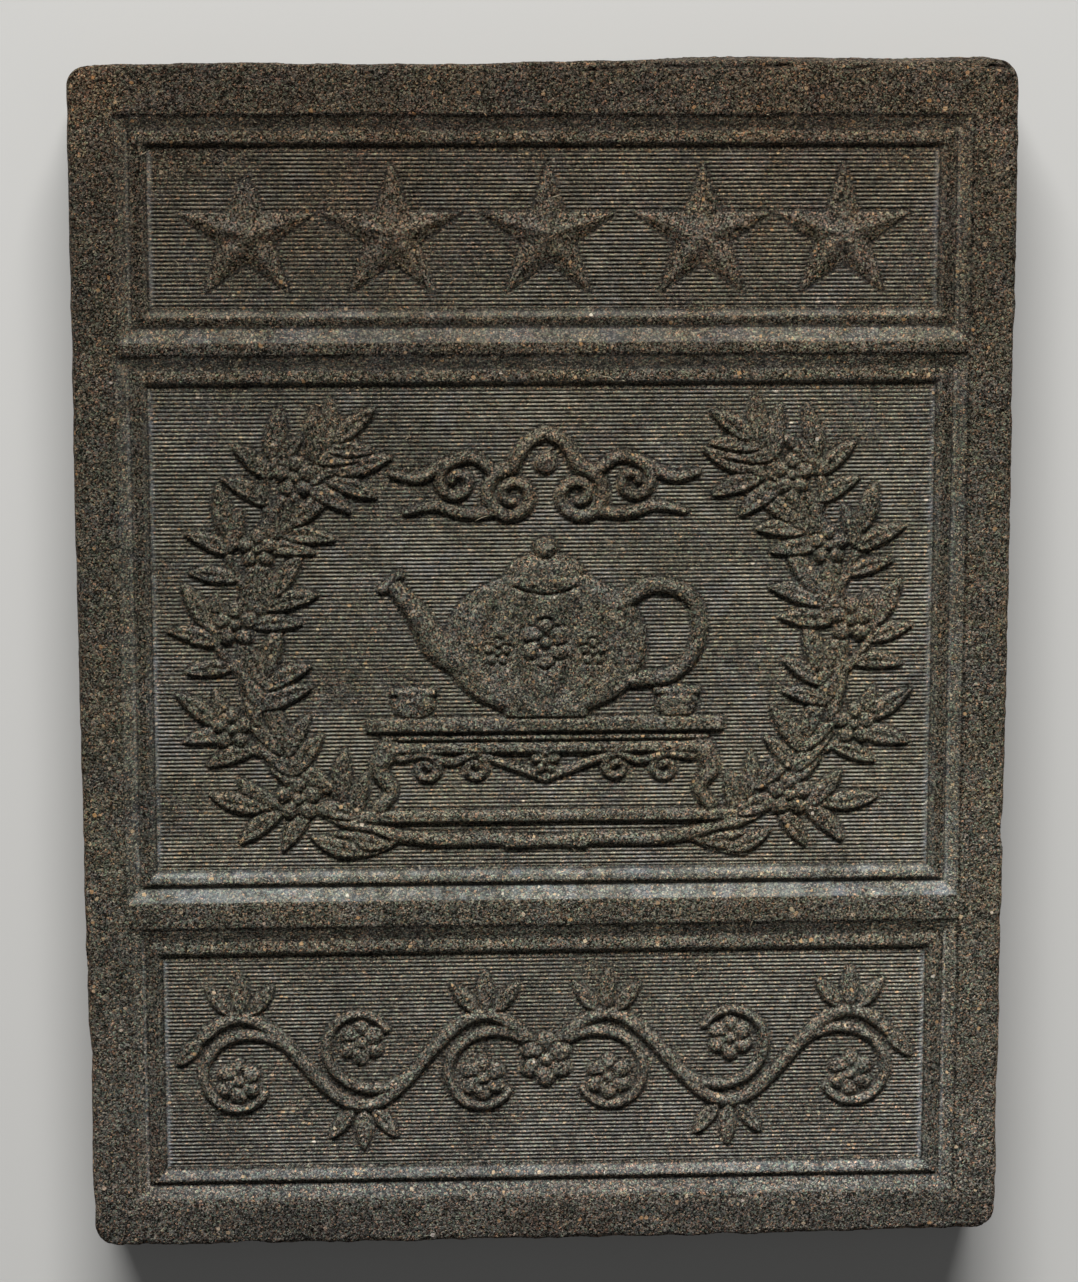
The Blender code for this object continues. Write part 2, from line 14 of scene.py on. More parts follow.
import bpy
import numpy as np
from mathutils import Euler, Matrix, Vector


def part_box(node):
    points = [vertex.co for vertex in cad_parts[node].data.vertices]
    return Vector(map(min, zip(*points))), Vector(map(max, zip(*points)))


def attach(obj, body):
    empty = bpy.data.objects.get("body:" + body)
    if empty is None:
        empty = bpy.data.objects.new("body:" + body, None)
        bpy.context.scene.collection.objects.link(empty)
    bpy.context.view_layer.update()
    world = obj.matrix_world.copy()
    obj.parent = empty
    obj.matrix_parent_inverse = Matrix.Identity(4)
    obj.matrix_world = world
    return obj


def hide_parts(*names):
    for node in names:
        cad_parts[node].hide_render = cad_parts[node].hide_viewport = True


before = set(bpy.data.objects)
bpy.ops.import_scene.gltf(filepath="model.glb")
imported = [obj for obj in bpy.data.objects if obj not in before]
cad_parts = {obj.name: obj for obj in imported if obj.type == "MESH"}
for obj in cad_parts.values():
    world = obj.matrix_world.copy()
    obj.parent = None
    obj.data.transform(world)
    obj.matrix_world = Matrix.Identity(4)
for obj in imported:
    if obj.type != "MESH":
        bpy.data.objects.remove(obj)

log = logging.getLogger("tea_brick")

MM = 0.001
NODE = "tea_brick"
IMAGE_SIZE = (1078, 1282)

Row = tuple[float, float, float]
Field = np.ndarray


class Part(Enum):
    """The brick's surfaces, each of which wears its own mix of the tea finish."""

    FACE = "face"
    WALL = "wall"


class Mask(Enum):
    """What the mesh tells the finish about each of its points, from 0 to 1."""

    # pressed: how smooth the skin is, which also sets a painted sheen that lightens it, strongest on rib
    # crests and on slopes facing the key light
    PRESSED_AND_SHEEN = "pressed"
    RIM = "rim"
    # hollow: painted shade in grooves, creases, cracks and round the motifs, with some dark dust, and the
    # motifs' darker tops
    SHADE_AND_DUST = "hollow"
    CARVED = "carved"
    # polished: how smooth the drawn face is; the finish turns it bluer, partly a painted sheen
    POLISHED = "polished"


def put_in_scene(name: str, data: bpy.types.ID) -> bpy.types.Object:
    """Makes an object of a mesh, a light or a camera, and puts it in the scene."""
    made = bpy.data.objects.new(name, data)
    bpy.context.scene.collection.objects.link(made)
    return made


# Small helpers for lines on the face.


def polar(radius: float, degrees: float) -> tuple[float, float]:
    """The X and Y of a point at this radius and angle."""
    angle = math.radians(degrees)
    return radius * math.cos(angle), radius * math.sin(angle)


def smooth(points: Sequence[Sequence[float]], steps: int) -> list[tuple[float, ...]]:
    """Draws a Catmull-Rom line through rows of numbers.

    Args:
        points: The rows that the line passes through.
        steps: How many pieces each stretch is cut into.

    Returns:
        The rows along the line, ends included.
    """
    rows = [points[0], *points, points[-1]]
    line = []
    for before, start, end, after in zip(rows, rows[1:], rows[2:], rows[3:]):
        for k in range(steps):
            t = k / steps
            line.append(tuple(
                0.5 * (
                    2 * q + (r - p) * t + (2 * p - 5 * q + 4 * r - s) * t**2 + (3 * q - p - 3 * r + s) * t**3
                )
                for p, q, r, s in zip(before, start, end, after)
            ))
    line.append(tuple(points[-1]))
    return line


def rolled(
    centre: tuple[float, float], radii: tuple[float, float], start: float, sweep: float,
    thickness: tuple[float, float], steps: int, closing: float = 1.0,
) -> list[Row]:
    """Winds a spiral strand round a point.

    Args:
        centre: The point that it winds round.
        radii: Its outer and inner radius.
        start: The angle of its outer end, in degrees.
        sweep: How far it turns, in degrees.
        thickness: The strand's radius at its outer and inner end.
        steps: How many pieces it is cut into.
        closing: How fast it closes in at first; 1 is steady.

    Returns:
        Rows of X, Y and the strand's radius.
    """
    rows = []
    for i in range(steps + 1):
        t = i / steps
        dx, dy = polar(radii[1] + (radii[0] - radii[1]) * (1 - t) ** closing, start + sweep * t)
        rows.append((centre[0] + dx, centre[1] + dy, thickness[0] + (thickness[1] - thickness[0]) * t))
    return rows


def raised(rows: Sequence[Row], up: float) -> list[Row]:
    """The rows, moved up by this much."""
    return [(x, y + up, radius) for x, y, radius in rows]


def turned(x: Field, y: Field, heading: float) -> tuple[Field, Field]:
    """How far points lie ahead of (0, 0) and to its left, for a heading in degrees."""
    turn_x, turn_y = polar(1.0, heading)
    return x * turn_x + y * turn_y, -x * turn_y + y * turn_x


def heading_from(start: Sequence[float], end: Sequence[float]) -> float:
    """The direction from one point to another, in degrees."""
    return math.degrees(math.atan2(end[1] - start[1], end[0] - start[0]))


def place_along(rows: Sequence[Row], share: float) -> tuple[tuple[float, ...], int]:
    """Finds a place along a line.

    Args:
        rows: The line's rows.
        share: How far along it the place lies, as a share of its pieces.

    Returns:
        The place's X and Y, and the number of the piece that it lies on.
    """
    pieces = len(rows) - 1
    i = min(int(share * pieces), pieces - 1)
    f = share * pieces - i
    return tuple(rows[i][axis] * (1 - f) + rows[i + 1][axis] * f for axis in (0, 1)), i


# What stands on the ribbed ground.


@dataclass(frozen=True)
class Leaf:
    """One leaf, from its foot: place, heading in degrees, length, width and bend in degrees."""

    x: float
    y: float
    heading: float
    length: float
    width: float
    bend: float

    def bow(self, share: float | Field) -> float | Field:
        """How far to the left of a straight line the midrib lies at this share of the leaf's length."""
        return math.tan(math.radians(self.bend)) * self.length * share * (1 - share) * 0.9

    def middle_line(self, share: float) -> tuple[float, float]:
        """The X and Y of the midrib at this share of the leaf's length."""
        along, aside = share * self.length, self.bow(share)
        turn_x, turn_y = polar(1.0, self.heading)
        return self.x + along * turn_x - aside * turn_y, self.y + along * turn_y + aside * turn_x


@dataclass(frozen=True)
class Strand:
    """A rounded strand along rows of X, Y and radius; a sharper one falls off sooner to its sides."""

    rows: list[Row]
    rise: float
    sharpness: float = 0.5


@dataclass(frozen=True)
class Dome:
    """A flattened dome: place, half length, half width, turn in degrees and rise."""

    x: float
    y: float
    half_length: float
    half_width: float
    turn: float
    rise: float


@dataclass(frozen=True)
class Board:
    """A flat bar from one corner to the other."""

    low_x: float
    low_y: float
    high_x: float
    high_y: float
    rise: float


@dataclass
class Relief:
    """Lists of what stands on the ground; strands are drawn first, then leaves, then domes and boards.

    Attributes:
        leaves: The leaves.
        strands: The rounded strands.
        domes: The flattened domes.
        boards: The flat bars.
        leaf_length: How long a twig's leaf is.
        leaf_slim: Its width as a share of its length.
        leaf_opening: How far it stands off its twig, in degrees.
        twig_radius: The radius of a twig.
    """

    leaves: list[Leaf] = field(default_factory=list)
    strands: list[Strand] = field(default_factory=list)
    domes: list[Dome] = field(default_factory=list)
    boards: list[Board] = field(default_factory=list)
    leaf_length: float = 11.0
    leaf_slim: float = 0.38
    leaf_opening: float = 44.0
    twig_radius: float = 0.8

    def add_strand(self, rows: Sequence[Row], rise: float, side: int = 1, sharpness: float = 0.5) -> None:
        """Adds a strand, mirrored in X for side -1.

        Args:
            rows: Rows of X, Y and radius, on side 1.
            rise: Its height.
            side: 1 or -1.
            sharpness: How soon it falls off to its sides.
        """
        self.strands.append(Strand([(side * x, y, radius) for x, y, radius in rows], rise, sharpness))

    def add_bar(self, half_width: float, low: float, high: float, rise: float, x: float = 0.0) -> None:
        """Adds a flat bar.

        Args:
            half_width: Half its width.
            low: Its lowest Y.
            high: Its highest Y.
            rise: Its height.
            x: The X of its middle.
        """
        self.boards.append(Board(x - half_width, low, x + half_width, high, rise))

    def add_leaf(
        self, side: int, foot: tuple[float, float], heading: float, length: float, bend: float, slim: float
    ) -> None:
        """Adds one leaf, mirrored in X for side -1.

        Args:
            side: 1 or -1.
            foot: Where the leaf starts, on side 1.
            heading: Its direction on side 1, in degrees.
            length: Its length.
            bend: How far it bends to its left, in degrees.
            slim: Its width as a share of its length.
        """
        x, y = foot
        if side < 0:
            x, heading, bend = -x, 180 - heading, -bend
        self.leaves.append(Leaf(x, y, heading, length, length * slim, bend))

    def add_sprig(
        self, chance: random.Random, side: int, foot: tuple[float, float], heading: float, length: float,
        pairs: int, curl: float,
    ) -> None:
        """Adds a twig with pairs of leaves along it and one leaf at its tip.

        Args:
            chance: Where the leaves' small differences are drawn from.
            side: 1 or -1.
            foot: Where the twig starts, on side 1.
            heading: Its direction there, in degrees.
            length: Its length.
            pairs: How many pairs of leaves it has.
            curl: How far it turns on its way, in degrees.
        """
        steps = 2
        rows = [(*foot, self.twig_radius)]
        turned = heading
        for i in range(steps):
            turned += curl / steps
            dx, dy = polar(length / steps, turned)
            rows.append((rows[-1][0] + dx, rows[-1][1] + dy, self.twig_radius - 0.1 * i))
        self.add_strand(smooth(rows, 4), 1.0, side)
        for k in range(pairs):
            t = (k + 0.6) / (pairs + 0.25)
            place, _ = place_along(rows, t)
            for hand in (1, -1):
                opened = self.leaf_opening - 6 * t + chance.uniform(-6, 6)
                size = self.leaf_length * chance.uniform(0.86, 1.06)
                bend = -hand * chance.uniform(6, 18)
                self.add_leaf(side, place, heading + curl * t + hand * opened, size, bend, self.leaf_slim)
        size = self.leaf_length * chance.uniform(0.95, 1.05)
        turned += chance.uniform(-6, 6)
        self.add_leaf(side, rows[-1][:2], turned, size, chance.uniform(-10, 10), self.leaf_slim)

    def add_blossom(self, x: float, y: float, size: float, petals: int = 5, rise: float = 1.5) -> None:
        """Adds a flower of petals round a button.

        Args:
            x: Its place.
            y: Its place.
            size: Its radius.
            petals: How many petals it has.
            rise: How high the petals stand.
        """
        for k in range(petals):
            turn = 90 + 360 / petals * k
            dx, dy = polar(0.58 * size, turn)
            self.domes.append(Dome(x + dx, y + dy, 0.46 * size, 0.38 * size, turn, rise))
        self.domes.append(Dome(x, y, 0.27 * size, 0.27 * size, 0, rise * 1.15))


@dataclass(frozen=True)
class TeaPot:
    """The melon-shaped tea pot in the middle of the picture; heights are measured from its middle."""

    middle_y: float = 4.4
    half_width: float = 19.0
    half_height: float = 13.4
    lobes: int = 7
    spout: tuple = ((-15.0, -3.5, 4.0), (-21.5, -0.5, 3.1), (-25.5, 6.0, 2.2), (-30.5, 12.5, 1.6))
    lip: tuple = ((-32.6, 11.6, 1.0), (-29.2, 14.6, 1.0))
    handle: tuple = (
        (14.5, 8.0, 1.9), (21.5, 12.0, 1.7), (29.3, 9.4, 1.6), (30.8, 0.6, 1.5), (25.8, -6.2, 1.5),
        (16.5, -7.4, 1.7),
    )
    # half width, lowest and highest Y over the pot's top or foot, and rise
    collar: tuple = (8.8, -1.4, 0.8, 1.45)
    foot_ring: tuple = (8.4, -1.6, 0.6, 1.4)
    # height over the pot's top, half length, half width and rise
    lid_domes: tuple = ((1.2, 7.8, 4.2, 1.5), (6.4, 2.4, 2.2, 1.6))
    # X, Y, size, petals and rise
    blossoms: tuple = ((0.0, 0.4, 5.2, 6, 1.66), (9.6, -1.4, 2.9, 5, 1.56), (-9.6, -1.4, 2.9, 5, 1.56))

    def draw(self, relief: Relief) -> float:
        """Adds the pot to the relief.

        Args:
            relief: What it is added to.

        Returns:
            The Y that the pot stands on.
        """
        for k in range(self.lobes):
            relief.add_strand(*self.lobe(math.radians(-90 + 180 * (k + 0.5) / self.lobes)), sharpness=0.8)
        top, foot = self.middle_y + self.half_height, self.middle_y - self.half_height
        for level, (half_width, low, high, rise) in ((top, self.collar), (foot, self.foot_ring)):
            relief.add_bar(half_width, level + low, level + high, rise)
        for up, half_length, half_width, rise in self.lid_domes:
            relief.domes.append(Dome(0.0, top + up, half_length, half_width, 0, rise))
        for x, y, size, petals, rise in self.blossoms:
            relief.add_blossom(x, self.middle_y + y, size, petals, rise)
        for points, rise in ((self.spout, 1.5), (self.lip, 1.3), (self.handle, 1.4)):
            relief.add_strand(smooth(raised(points, self.middle_y), 8), rise)
        return foot + self.foot_ring[1]

    def lobe(self, round_pot: float) -> tuple[list[Row], float]:
        """Shapes one lobe of the pot's body.

        Args:
            round_pot: How far round the pot it lies, in radians from the front.

        Returns:
            The rows of its strand, and its rise.
        """
        rows = []
        for degrees in range(-72, 73, 4):
            up = math.radians(degrees)
            rows.append((
                self.half_width * math.sin(round_pot) * math.cos(up) ** 0.8,
                self.middle_y + self.half_height * math.sin(up),
                (0.9 + 3.7 * math.cos(round_pot)) * math.cos(up) ** 0.7 + 0.2,
            ))
        return rows, 1.05 + 0.65 * math.cos(round_pot)


@dataclass(frozen=True)
class Stand:
    """The low stand under the pot, with two cups on it; heights are measured from its top."""

    top: float
    # half width, lowest and highest Y, and rise
    bars: tuple = (
        (36.0, -3.0, 0.0, 1.4), (33.0, -4.8, -3.6, 0.9), (34.0, -7.4, -5.2, 1.2), (38.0, -21.8, -19.4, 1.2),
    )
    leg: tuple = ((31.4, -6.6, 2.2), (33.6, -10.6, 1.9), (31.2, -15.0, 1.4), (33.4, -18.4, 1.5))
    apron: tuple = (
        (29.6, -8.4, 0.9), (24.2, -7.6, 0.9), (19.0, -9.2, 0.9), (14.4, -7.6, 0.9), (8.6, -9.4, 0.9),
        (0.0, -12.6, 1.0),
    )
    # X, Y and outer radius
    curls: tuple = ((24.2, -10.6, 3.0), (14.4, -10.4, 2.8))
    cup_x: float = 26.6
    # a cup's rim and its foot, in the same way as the bars
    cup_bars: tuple = ((4.7, 4.6, 6.2, 1.25), (2.6, 0.2, 1.3, 1.1))

    def draw(self, relief: Relief) -> None:
        """Adds the stand and its cups to the relief."""
        top = self.top
        for half_width, low, high, rise in self.bars:
            relief.add_bar(half_width, top + low, top + high, rise)
        for side in (1, -1):
            cup = side * self.cup_x
            relief.domes.append(Dome(cup, top + 3.2, 4.4, 3.5, 0, 1.3))
            for half_width, low, high, rise in self.cup_bars:
                relief.add_bar(half_width, top + low, top + high, rise, cup)
            relief.add_strand(smooth(raised(self.leg, top), 6), 1.35, side)
            relief.add_strand(smooth(raised(self.apron, top), 6), 1.1, side)
            for x, y, outer in raised(self.curls, top):
                relief.add_strand(rolled((x, y), (outer, 0.7), 90, 420, (0.95, 0.7), 28), 1.1, side)
        relief.add_blossom(0.0, top - 9.0, 2.9)


@dataclass(frozen=True)
class Cloud:
    """The rolled cloud over the pot; heights are measured from its own Y."""

    y: float = 37.0
    arch: tuple = ((6.6, 3.6, 1.45), (3.8, 8.4, 1.4), (0.0, 10.6, 1.4))
    upper_tail: tuple = (
        (10.4, 2.8, 1.2), (14.6, 5.8, 1.25), (19.4, 4.6, 1.25), (25.2, 1.6, 1.2), (30.4, 2.4, 0.8),
    )
    lower_tail: tuple = ((10.6, -5.4, 1.1), (16.4, -5.8, 1.2), (22.0, -4.2, 1.1), (28.0, -5.4, 0.6))

    def draw(self, relief: Relief) -> None:
        """Adds the cloud to the relief."""
        y = self.y
        strands = (
            (rolled((6.6, y - 2.0), (5.6, 1.2), 90, -540, (1.45, 1.0), 44), 1.3),
            (rolled((17.6, y + 0.8), (4.0, 1.0), 70, -420, (1.25, 0.9), 34), 1.2),
            (smooth(raised(self.arch, y), 8), 1.3),
            (smooth(raised(self.upper_tail, y), 6), 1.2),
            (smooth(raised(self.lower_tail, y), 6), 1.15),
        )
        for side in (1, -1):
            for rows, rise in strands:
                relief.add_strand(rows, rise, side)
        relief.domes.append(Dome(0.0, y + 4.6, 2.4, 2.4, 0, 1.3))


@dataclass(frozen=True)
class TeaBranches:
    """The two tea branches that cross under the stand and rise on either side of the pot."""

    picture_y: float = 7.5
    branch: tuple = (
        (-8.0, -44.6, 0.8), (8.0, -43.6, 1.3), (26.0, -43.2, 1.4), (42.0, -38.6, 1.4), (54.0, -28.0, 1.3),
        (59.5, -12.0, 1.2), (59.5, 6.0, 1.1), (55.5, 21.0, 1.0), (47.5, 33.0, 0.9),
    )
    twigs: int = 12
    # where the first and the last twig leave the branch, as shares of its length
    twig_shares: tuple = (0.27, 0.95)
    # how far a twig turns off the branch, its length and its curl
    twig_kinds: tuple = ((-52, 12.5, 30), (48, 9.5, -16))
    blossoms: tuple = (
        (49.6, -34.6, 4.6), (62.6, -20.0, 4.2), (61.6, 1.6, 4.6), (57.0, 17.0, 4.0), (49.5, 31.5, 4.2),
    )
    blossom_clearance: float = 4.0
    margin: float = 1.2

    def draw(self, relief: Relief, low: float, high: float, half_width: float) -> None:
        """Adds the branches, without the leaves that would leave the ground or hide a flower.

        Args:
            relief: What they are added to.
            low: The lowest Y of the picture's ground.
            high: Its highest Y.
            half_width: Half its width.
        """
        line = smooth(raised(self.branch, self.picture_y), 3)
        first, last = self.twig_shares
        for side in (1, -1):
            chance = random.Random(7 + side)
            relief.add_strand(smooth(line, 3), 1.25, side)
            for n in range(self.twigs):
                turn, length, curl = self.twig_kinds[n % 2]
                foot, i = place_along(line, first + (last - first) * n / (self.twigs - 1))
                heading = heading_from(line[i], line[i + 1])
                relief.add_sprig(chance, side, foot, heading + turn, length, 2, curl)
            relief.add_sprig(chance, side, line[-1][:2], heading_from(line[-3], line[-1]), 8.0, 2, 16)
            for x, y, size in self.blossoms:
                relief.add_blossom(side * x, y + self.picture_y, size)
        relief.leaves = [leaf for leaf in relief.leaves if self.keeps_clear(leaf, low, high, half_width)]

    def keeps_clear(self, leaf: Leaf, low: float, high: float, half_width: float) -> bool:
        """Tells whether a leaf stays on the ground and off the flowers.

        Args:
            leaf: The leaf.
            low: The lowest Y of the picture's ground.
            high: Its highest Y.
            half_width: Half its width.

        Returns:
            True if the leaf can stay.
        """
        middle, tip = (leaf.middle_line(share) for share in (0.6, 1.0))
        inside = all(
            abs(x) < half_width - self.margin and low + self.margin < y < high - self.margin
            for x, y in (middle, tip)
        )
        return inside and all(
            math.dist((abs(middle[0]), middle[1]), (x, y + self.picture_y)) > self.blossom_clearance
            for x, y, _ in self.blossoms
        )


@dataclass(frozen=True)
class RunningScroll:
    """The scroll of the lowest panel, from the flower in its middle to either side."""

    y: float = -82.35
    reach: float = 70.5
    wave: float = 50.0
    swing: float = 9.6
    steps: int = 96
    # heading, length and place along the crest of each leaf there
    crest_leaves: tuple = ((128, 8.0, -2.0), (90, 9.0, 0.0), (52, 8.0, 2.0))

    def draw(self, relief: Relief) -> None:
        """Adds a waved stem, a tendril round a flower in each hollow, and leaves on each crest."""
        rows = []
        for i in range(self.steps + 1):
            x = self.reach * i / self.steps
            rows.append((x, self.y + self.swing * math.sin(2 * math.pi * x / self.wave), 1.35))
        for side in (1, -1):
            relief.add_strand(rows, 1.3, side)
            relief.add_leaf(side, rows[-1][:2], -48, 7.5, -6, 0.45)
            for k in range(3):
                x = self.wave / 2 * (k + 0.5)
                up = 1 - 2 * (k % 2)
                hollow = (x + 0.4, self.y - up * 4.0)
                tendril = rolled(hollow, (12.8, 5.9), up * 153, up * -305, (1.2, 0.8), 60, 2.6)
                relief.add_strand(tendril, 1.2, side)
                relief.add_blossom(side * hollow[0], hollow[1], 4.7, 6, 1.25)
                crest = self.y + up * (self.swing + 0.6)
                for turn, length, shift in self.crest_leaves:
                    relief.add_leaf(side, (x + shift, crest), up * turn, length, 0, 0.42)
        relief.add_blossom(0.0, self.y, 5.6, 6, 1.45)


@dataclass(frozen=True)
class StarRow:
    """The five faceted stars of the upper panel; the notches' radius is a share of the tips'."""

    places: tuple = (-58.7, -30.1, 0.6, 31.1, 58.9)
    y: float = 87.0
    tips: int = 5
    radius: float = 14.6
    notch: float = 0.382
    rise: float = 1.9
    edge: float = 0.13


# The face as a map of heights.


def soften(values: Field, spread: float) -> Field:
    """Blurs a field along both axes.

    Args:
        values: The field.
        spread: The blur's standard deviation, in cells.

    Returns:
        A blurred copy.
    """
    reach = max(1, int(3 * spread))
    weights = np.exp(-0.5 * (np.arange(-reach, reach + 1) / spread) ** 2)
    weights /= weights.sum()
    for axis in (0, 1):
        padded = np.pad(values, [(reach, reach) if a == axis else (0, 0) for a in (0, 1)], mode="edge")
        size = values.shape[axis]
        total = np.zeros_like(values)
        for k, weight in enumerate(weights):
            total += weight * (padded[k:k + size] if axis == 0 else padded[:, k:k + size])
        values = total
    return values


def ease(values: Field, low: float, high: float) -> Field:
    """Rises smoothly from 0 at low to 1 at high."""
    t = np.clip((values - low) / (high - low), 0.0, 1.0)
    return t * t * (3 - 2 * t)


def band(values: Field, start: float, full: float, fade: float, end: float) -> Field:
    """Rises smoothly from 0 at start to 1 at full, and falls back to 0 from fade to end."""
    return ease(values, start, full) * (1 - ease(values, fade, end))


def ridge(values: Field, place: float | Field, width: float) -> Field:
    """A soft line: 1 at a place, and less the further away, by this width."""
    return np.exp(-((values - place) / width) ** 2)


def evenly(low: float, high: float, step: float) -> Field:
    """Places from low up to high, without high itself, about a step apart."""
    return np.linspace(low, high, max(2, round((high - low) / step)), endpoint=False)


def cubic_weights(places: Field, knots: int) -> Field:
    """Weights that turn values at whole-numbered knots into a smooth line.

    Args:
        places: Where the line is read, in knots.
        knots: How many knots there are.

    Returns:
        One row of weights for each place.
    """
    first = np.clip(np.floor(places).astype(int), 1, knots - 3)
    t = places - first
    table = np.zeros((len(places), knots), np.float32)
    rows = np.arange(len(places))
    table[rows, first - 1] = (1 - t) ** 3 / 6
    table[rows, first] = (3 * t**3 - 6 * t**2 + 4) / 6
    table[rows, first + 1] = (-3 * t**3 + 3 * t**2 + 3 * t + 1) / 6
    table[rows, first + 2] = t**3 / 6
    return table


def line_weights(line: Field, size: float) -> Field:
    """Weights that turn values at knots this far apart into a smooth line over these places."""
    knots = int((line.max() - line.min()) / size) + 5
    return cubic_weights((line - line.min()) / size + 1.5, knots)


@dataclass(frozen=True)
class Lumps:
    """A pattern of smooth lumps: their length along X and along Y, and the seed that picks them."""

    size_x: float
    size_y: float
    seed: int

    def over(self, x: Field, y: Field) -> Field:
        """Lays the pattern out.

        Args:
            x: The X of its columns.
            y: The Y of its rows.

        Returns:
            The pattern, with a mean of 0 and a standard deviation of 1.
        """
        chance = np.random.default_rng(self.seed)
        down, across = line_weights(y, self.size_y), line_weights(x, self.size_x)
        coarse = chance.standard_normal((down.shape[1], across.shape[1])).astype(np.float32)
        lumps = down @ coarse @ across.T
        return (lumps - lumps.mean()) / lumps.std()


class HeightMap:
    """Heights above the panels' ground on a fine grid over the brick's face."""

    vein_spacing = 1.35

    def __init__(self, half_width: float, half_height: float, spacing: float) -> None:
        """Makes an empty map.

        Args:
            half_width: How far it reaches along X.
            half_height: How far it reaches along Y.
            spacing: The size of its cells.
        """
        self.spacing = spacing
        self.x = np.arange(-half_width, half_width + spacing, spacing, dtype=np.float32)
        self.y = np.arange(-half_height, half_height + spacing, spacing, dtype=np.float32)
        self.height = np.zeros((len(self.y), len(self.x)), np.float32)

    def window(self, low_x: float, low_y: float, high_x: float, high_y: float) -> tuple[tuple, Field, Field]:
        """Finds the cells of a box.

        Args:
            low_x: The box's lowest X.
            low_y: Its lowest Y.
            high_x: Its highest X.
            high_y: Its highest Y.

        Returns:
            The slices of the box, and the X and Y of its cells.
        """
        columns = slice(*np.searchsorted(self.x, (low_x, high_x)))
        rows = slice(*np.searchsorted(self.y, (low_y, high_y)))
        grid_x, grid_y = np.meshgrid(self.x[columns], self.y[rows])
        return (rows, columns), grid_x, grid_y

    def raise_to(self, cells: tuple, height: Field) -> None:
        """Lifts cells to a height where they lie lower."""
        self.height[cells] = np.maximum(self.height[cells], height)

    def part(self, cells: tuple, outside: Field, gap: float, depth: float) -> None:
        """Sinks what lies just round a shape, so that the shape stands apart.

        Args:
            cells: The slices of a box.
            outside: How far each of its cells lies outside the shape.
            gap: The width of the sunk line.
            depth: What share of the height stays at the shape's edge.
        """
        near = np.clip(outside / gap, 0.0, 1.0)
        kept = np.where(outside > -gap, depth + (1 - depth) * near, 1.0)
        self.height[cells] *= kept.astype(np.float32)

    def draw_strand(self, strand: Strand) -> None:
        """Draws a rounded strand."""
        for (ax, ay, ar), (bx, by, br) in zip(strand.rows, strand.rows[1:]):
            reach = max(ar, br)
            cells, x, y = self.window(
                min(ax, bx) - reach, min(ay, by) - reach, max(ax, bx) + reach, max(ay, by) + reach
            )
            span = max((bx - ax) ** 2 + (by - ay) ** 2, 1e-9)
            t = np.clip(((x - ax) * (bx - ax) + (y - ay) * (by - ay)) / span, 0, 1)
            away = np.hypot(x - ax - t * (bx - ax), y - ay - t * (by - ay))
            inside = np.clip(1 - (away / (ar + (br - ar) * t)) ** 2, 0, 1)
            self.raise_to(cells, strand.rise * inside**strand.sharpness)

    def draw_leaf(self, leaf: Leaf, rise: float, groove: float = 0.4) -> None:
        """Draws a leaf with a sunk midrib, side veins and a line round it.

        Args:
            leaf: The leaf.
            rise: Its height.
            groove: The width of the line that sets it apart.
        """
        cells, x, y = self.window(
            leaf.x - leaf.length, leaf.y - leaf.length, leaf.x + leaf.length, leaf.y + leaf.length
        )
        u, v = turned(x - leaf.x, y - leaf.y, leaf.heading)
        u = u / leaf.length
        v = v - leaf.bow(u)
        along = np.clip(u, 0, 1)
        half = leaf.width / 2 * np.sin(np.pi * along**0.85) ** 0.8
        outside = np.maximum(np.maximum(np.abs(v) - half, -u * leaf.length), (u - 1) * leaf.length)
        self.part(cells, outside, groove, 0.25)
        across = np.clip(np.abs(v) / np.maximum(half, 1e-6), 0, 1)
        swell = 0.62 + 0.77 * np.sqrt(across) * np.sqrt(1 - across**2)
        waves = np.cos(2 * np.pi * (along * leaf.length - 0.55 * np.abs(v)) / self.vein_spacing)
        veins = 0.07 * waves * across * (1 - across)
        shape = (swell * (1 - across**6) + veins * 4) * (0.82 + 0.18 * along)
        self.raise_to(cells, np.where(outside < 0, rise * shape, 0))

    def draw_dome(self, dome: Dome, groove: float = 0.35) -> None:
        """Draws a flattened dome with a line round it."""
        reach = max(dome.half_length, dome.half_width) + groove
        cells, x, y = self.window(dome.x - reach, dome.y - reach, dome.x + reach, dome.y + reach)
        u, v = turned(x - dome.x, y - dome.y, dome.turn)
        radius = np.hypot(u / dome.half_length, v / dome.half_width)
        self.part(cells, (radius - 1) * min(dome.half_length, dome.half_width), groove, 0.4)
        self.raise_to(cells, dome.rise * np.clip(1 - radius**2, 0, 1) ** 0.42)

    def draw_board(self, board: Board, edge: float = 0.45) -> None:
        """Draws a flat bar with bevelled edges."""
        cells, x, y = self.window(board.low_x, board.low_y, board.high_x, board.high_y)
        inside = np.minimum(
            np.minimum(x - board.low_x, board.high_x - x), np.minimum(y - board.low_y, board.high_y - y)
        )
        self.raise_to(cells, board.rise * np.clip(inside / edge + 0.2, 0, 1))

    def draw_stars(self, stars: StarRow) -> None:
        """Draws the faceted stars, whose edges fall in straight lines from the peak to the five tips."""
        half_turn = 180 / stars.tips
        notch_x, notch_y = polar(stars.notch * stars.radius, half_turn)
        for place in stars.places:
            reach = stars.radius
            cells, x, y = self.window(place - reach, stars.y - reach, place + reach, stars.y + reach)
            turn = np.degrees(np.arctan2(x - place, y - stars.y))
            folded = np.radians(np.abs((turn + half_turn) % (2 * half_turn) - half_turn))
            radius = np.hypot(x - place, y - stars.y)
            px, py = radius * np.cos(folded), radius * np.sin(folded)
            edge_x, edge_y = notch_x - stars.radius, notch_y
            inside = ((px - stars.radius) * edge_y - py * edge_x) / (-stars.radius * edge_y)
            facets = stars.rise * (stars.edge + (1 - stars.edge) * np.clip(inside, 0, 1))
            self.raise_to(cells, facets * ease(inside, -0.01, 0.03))

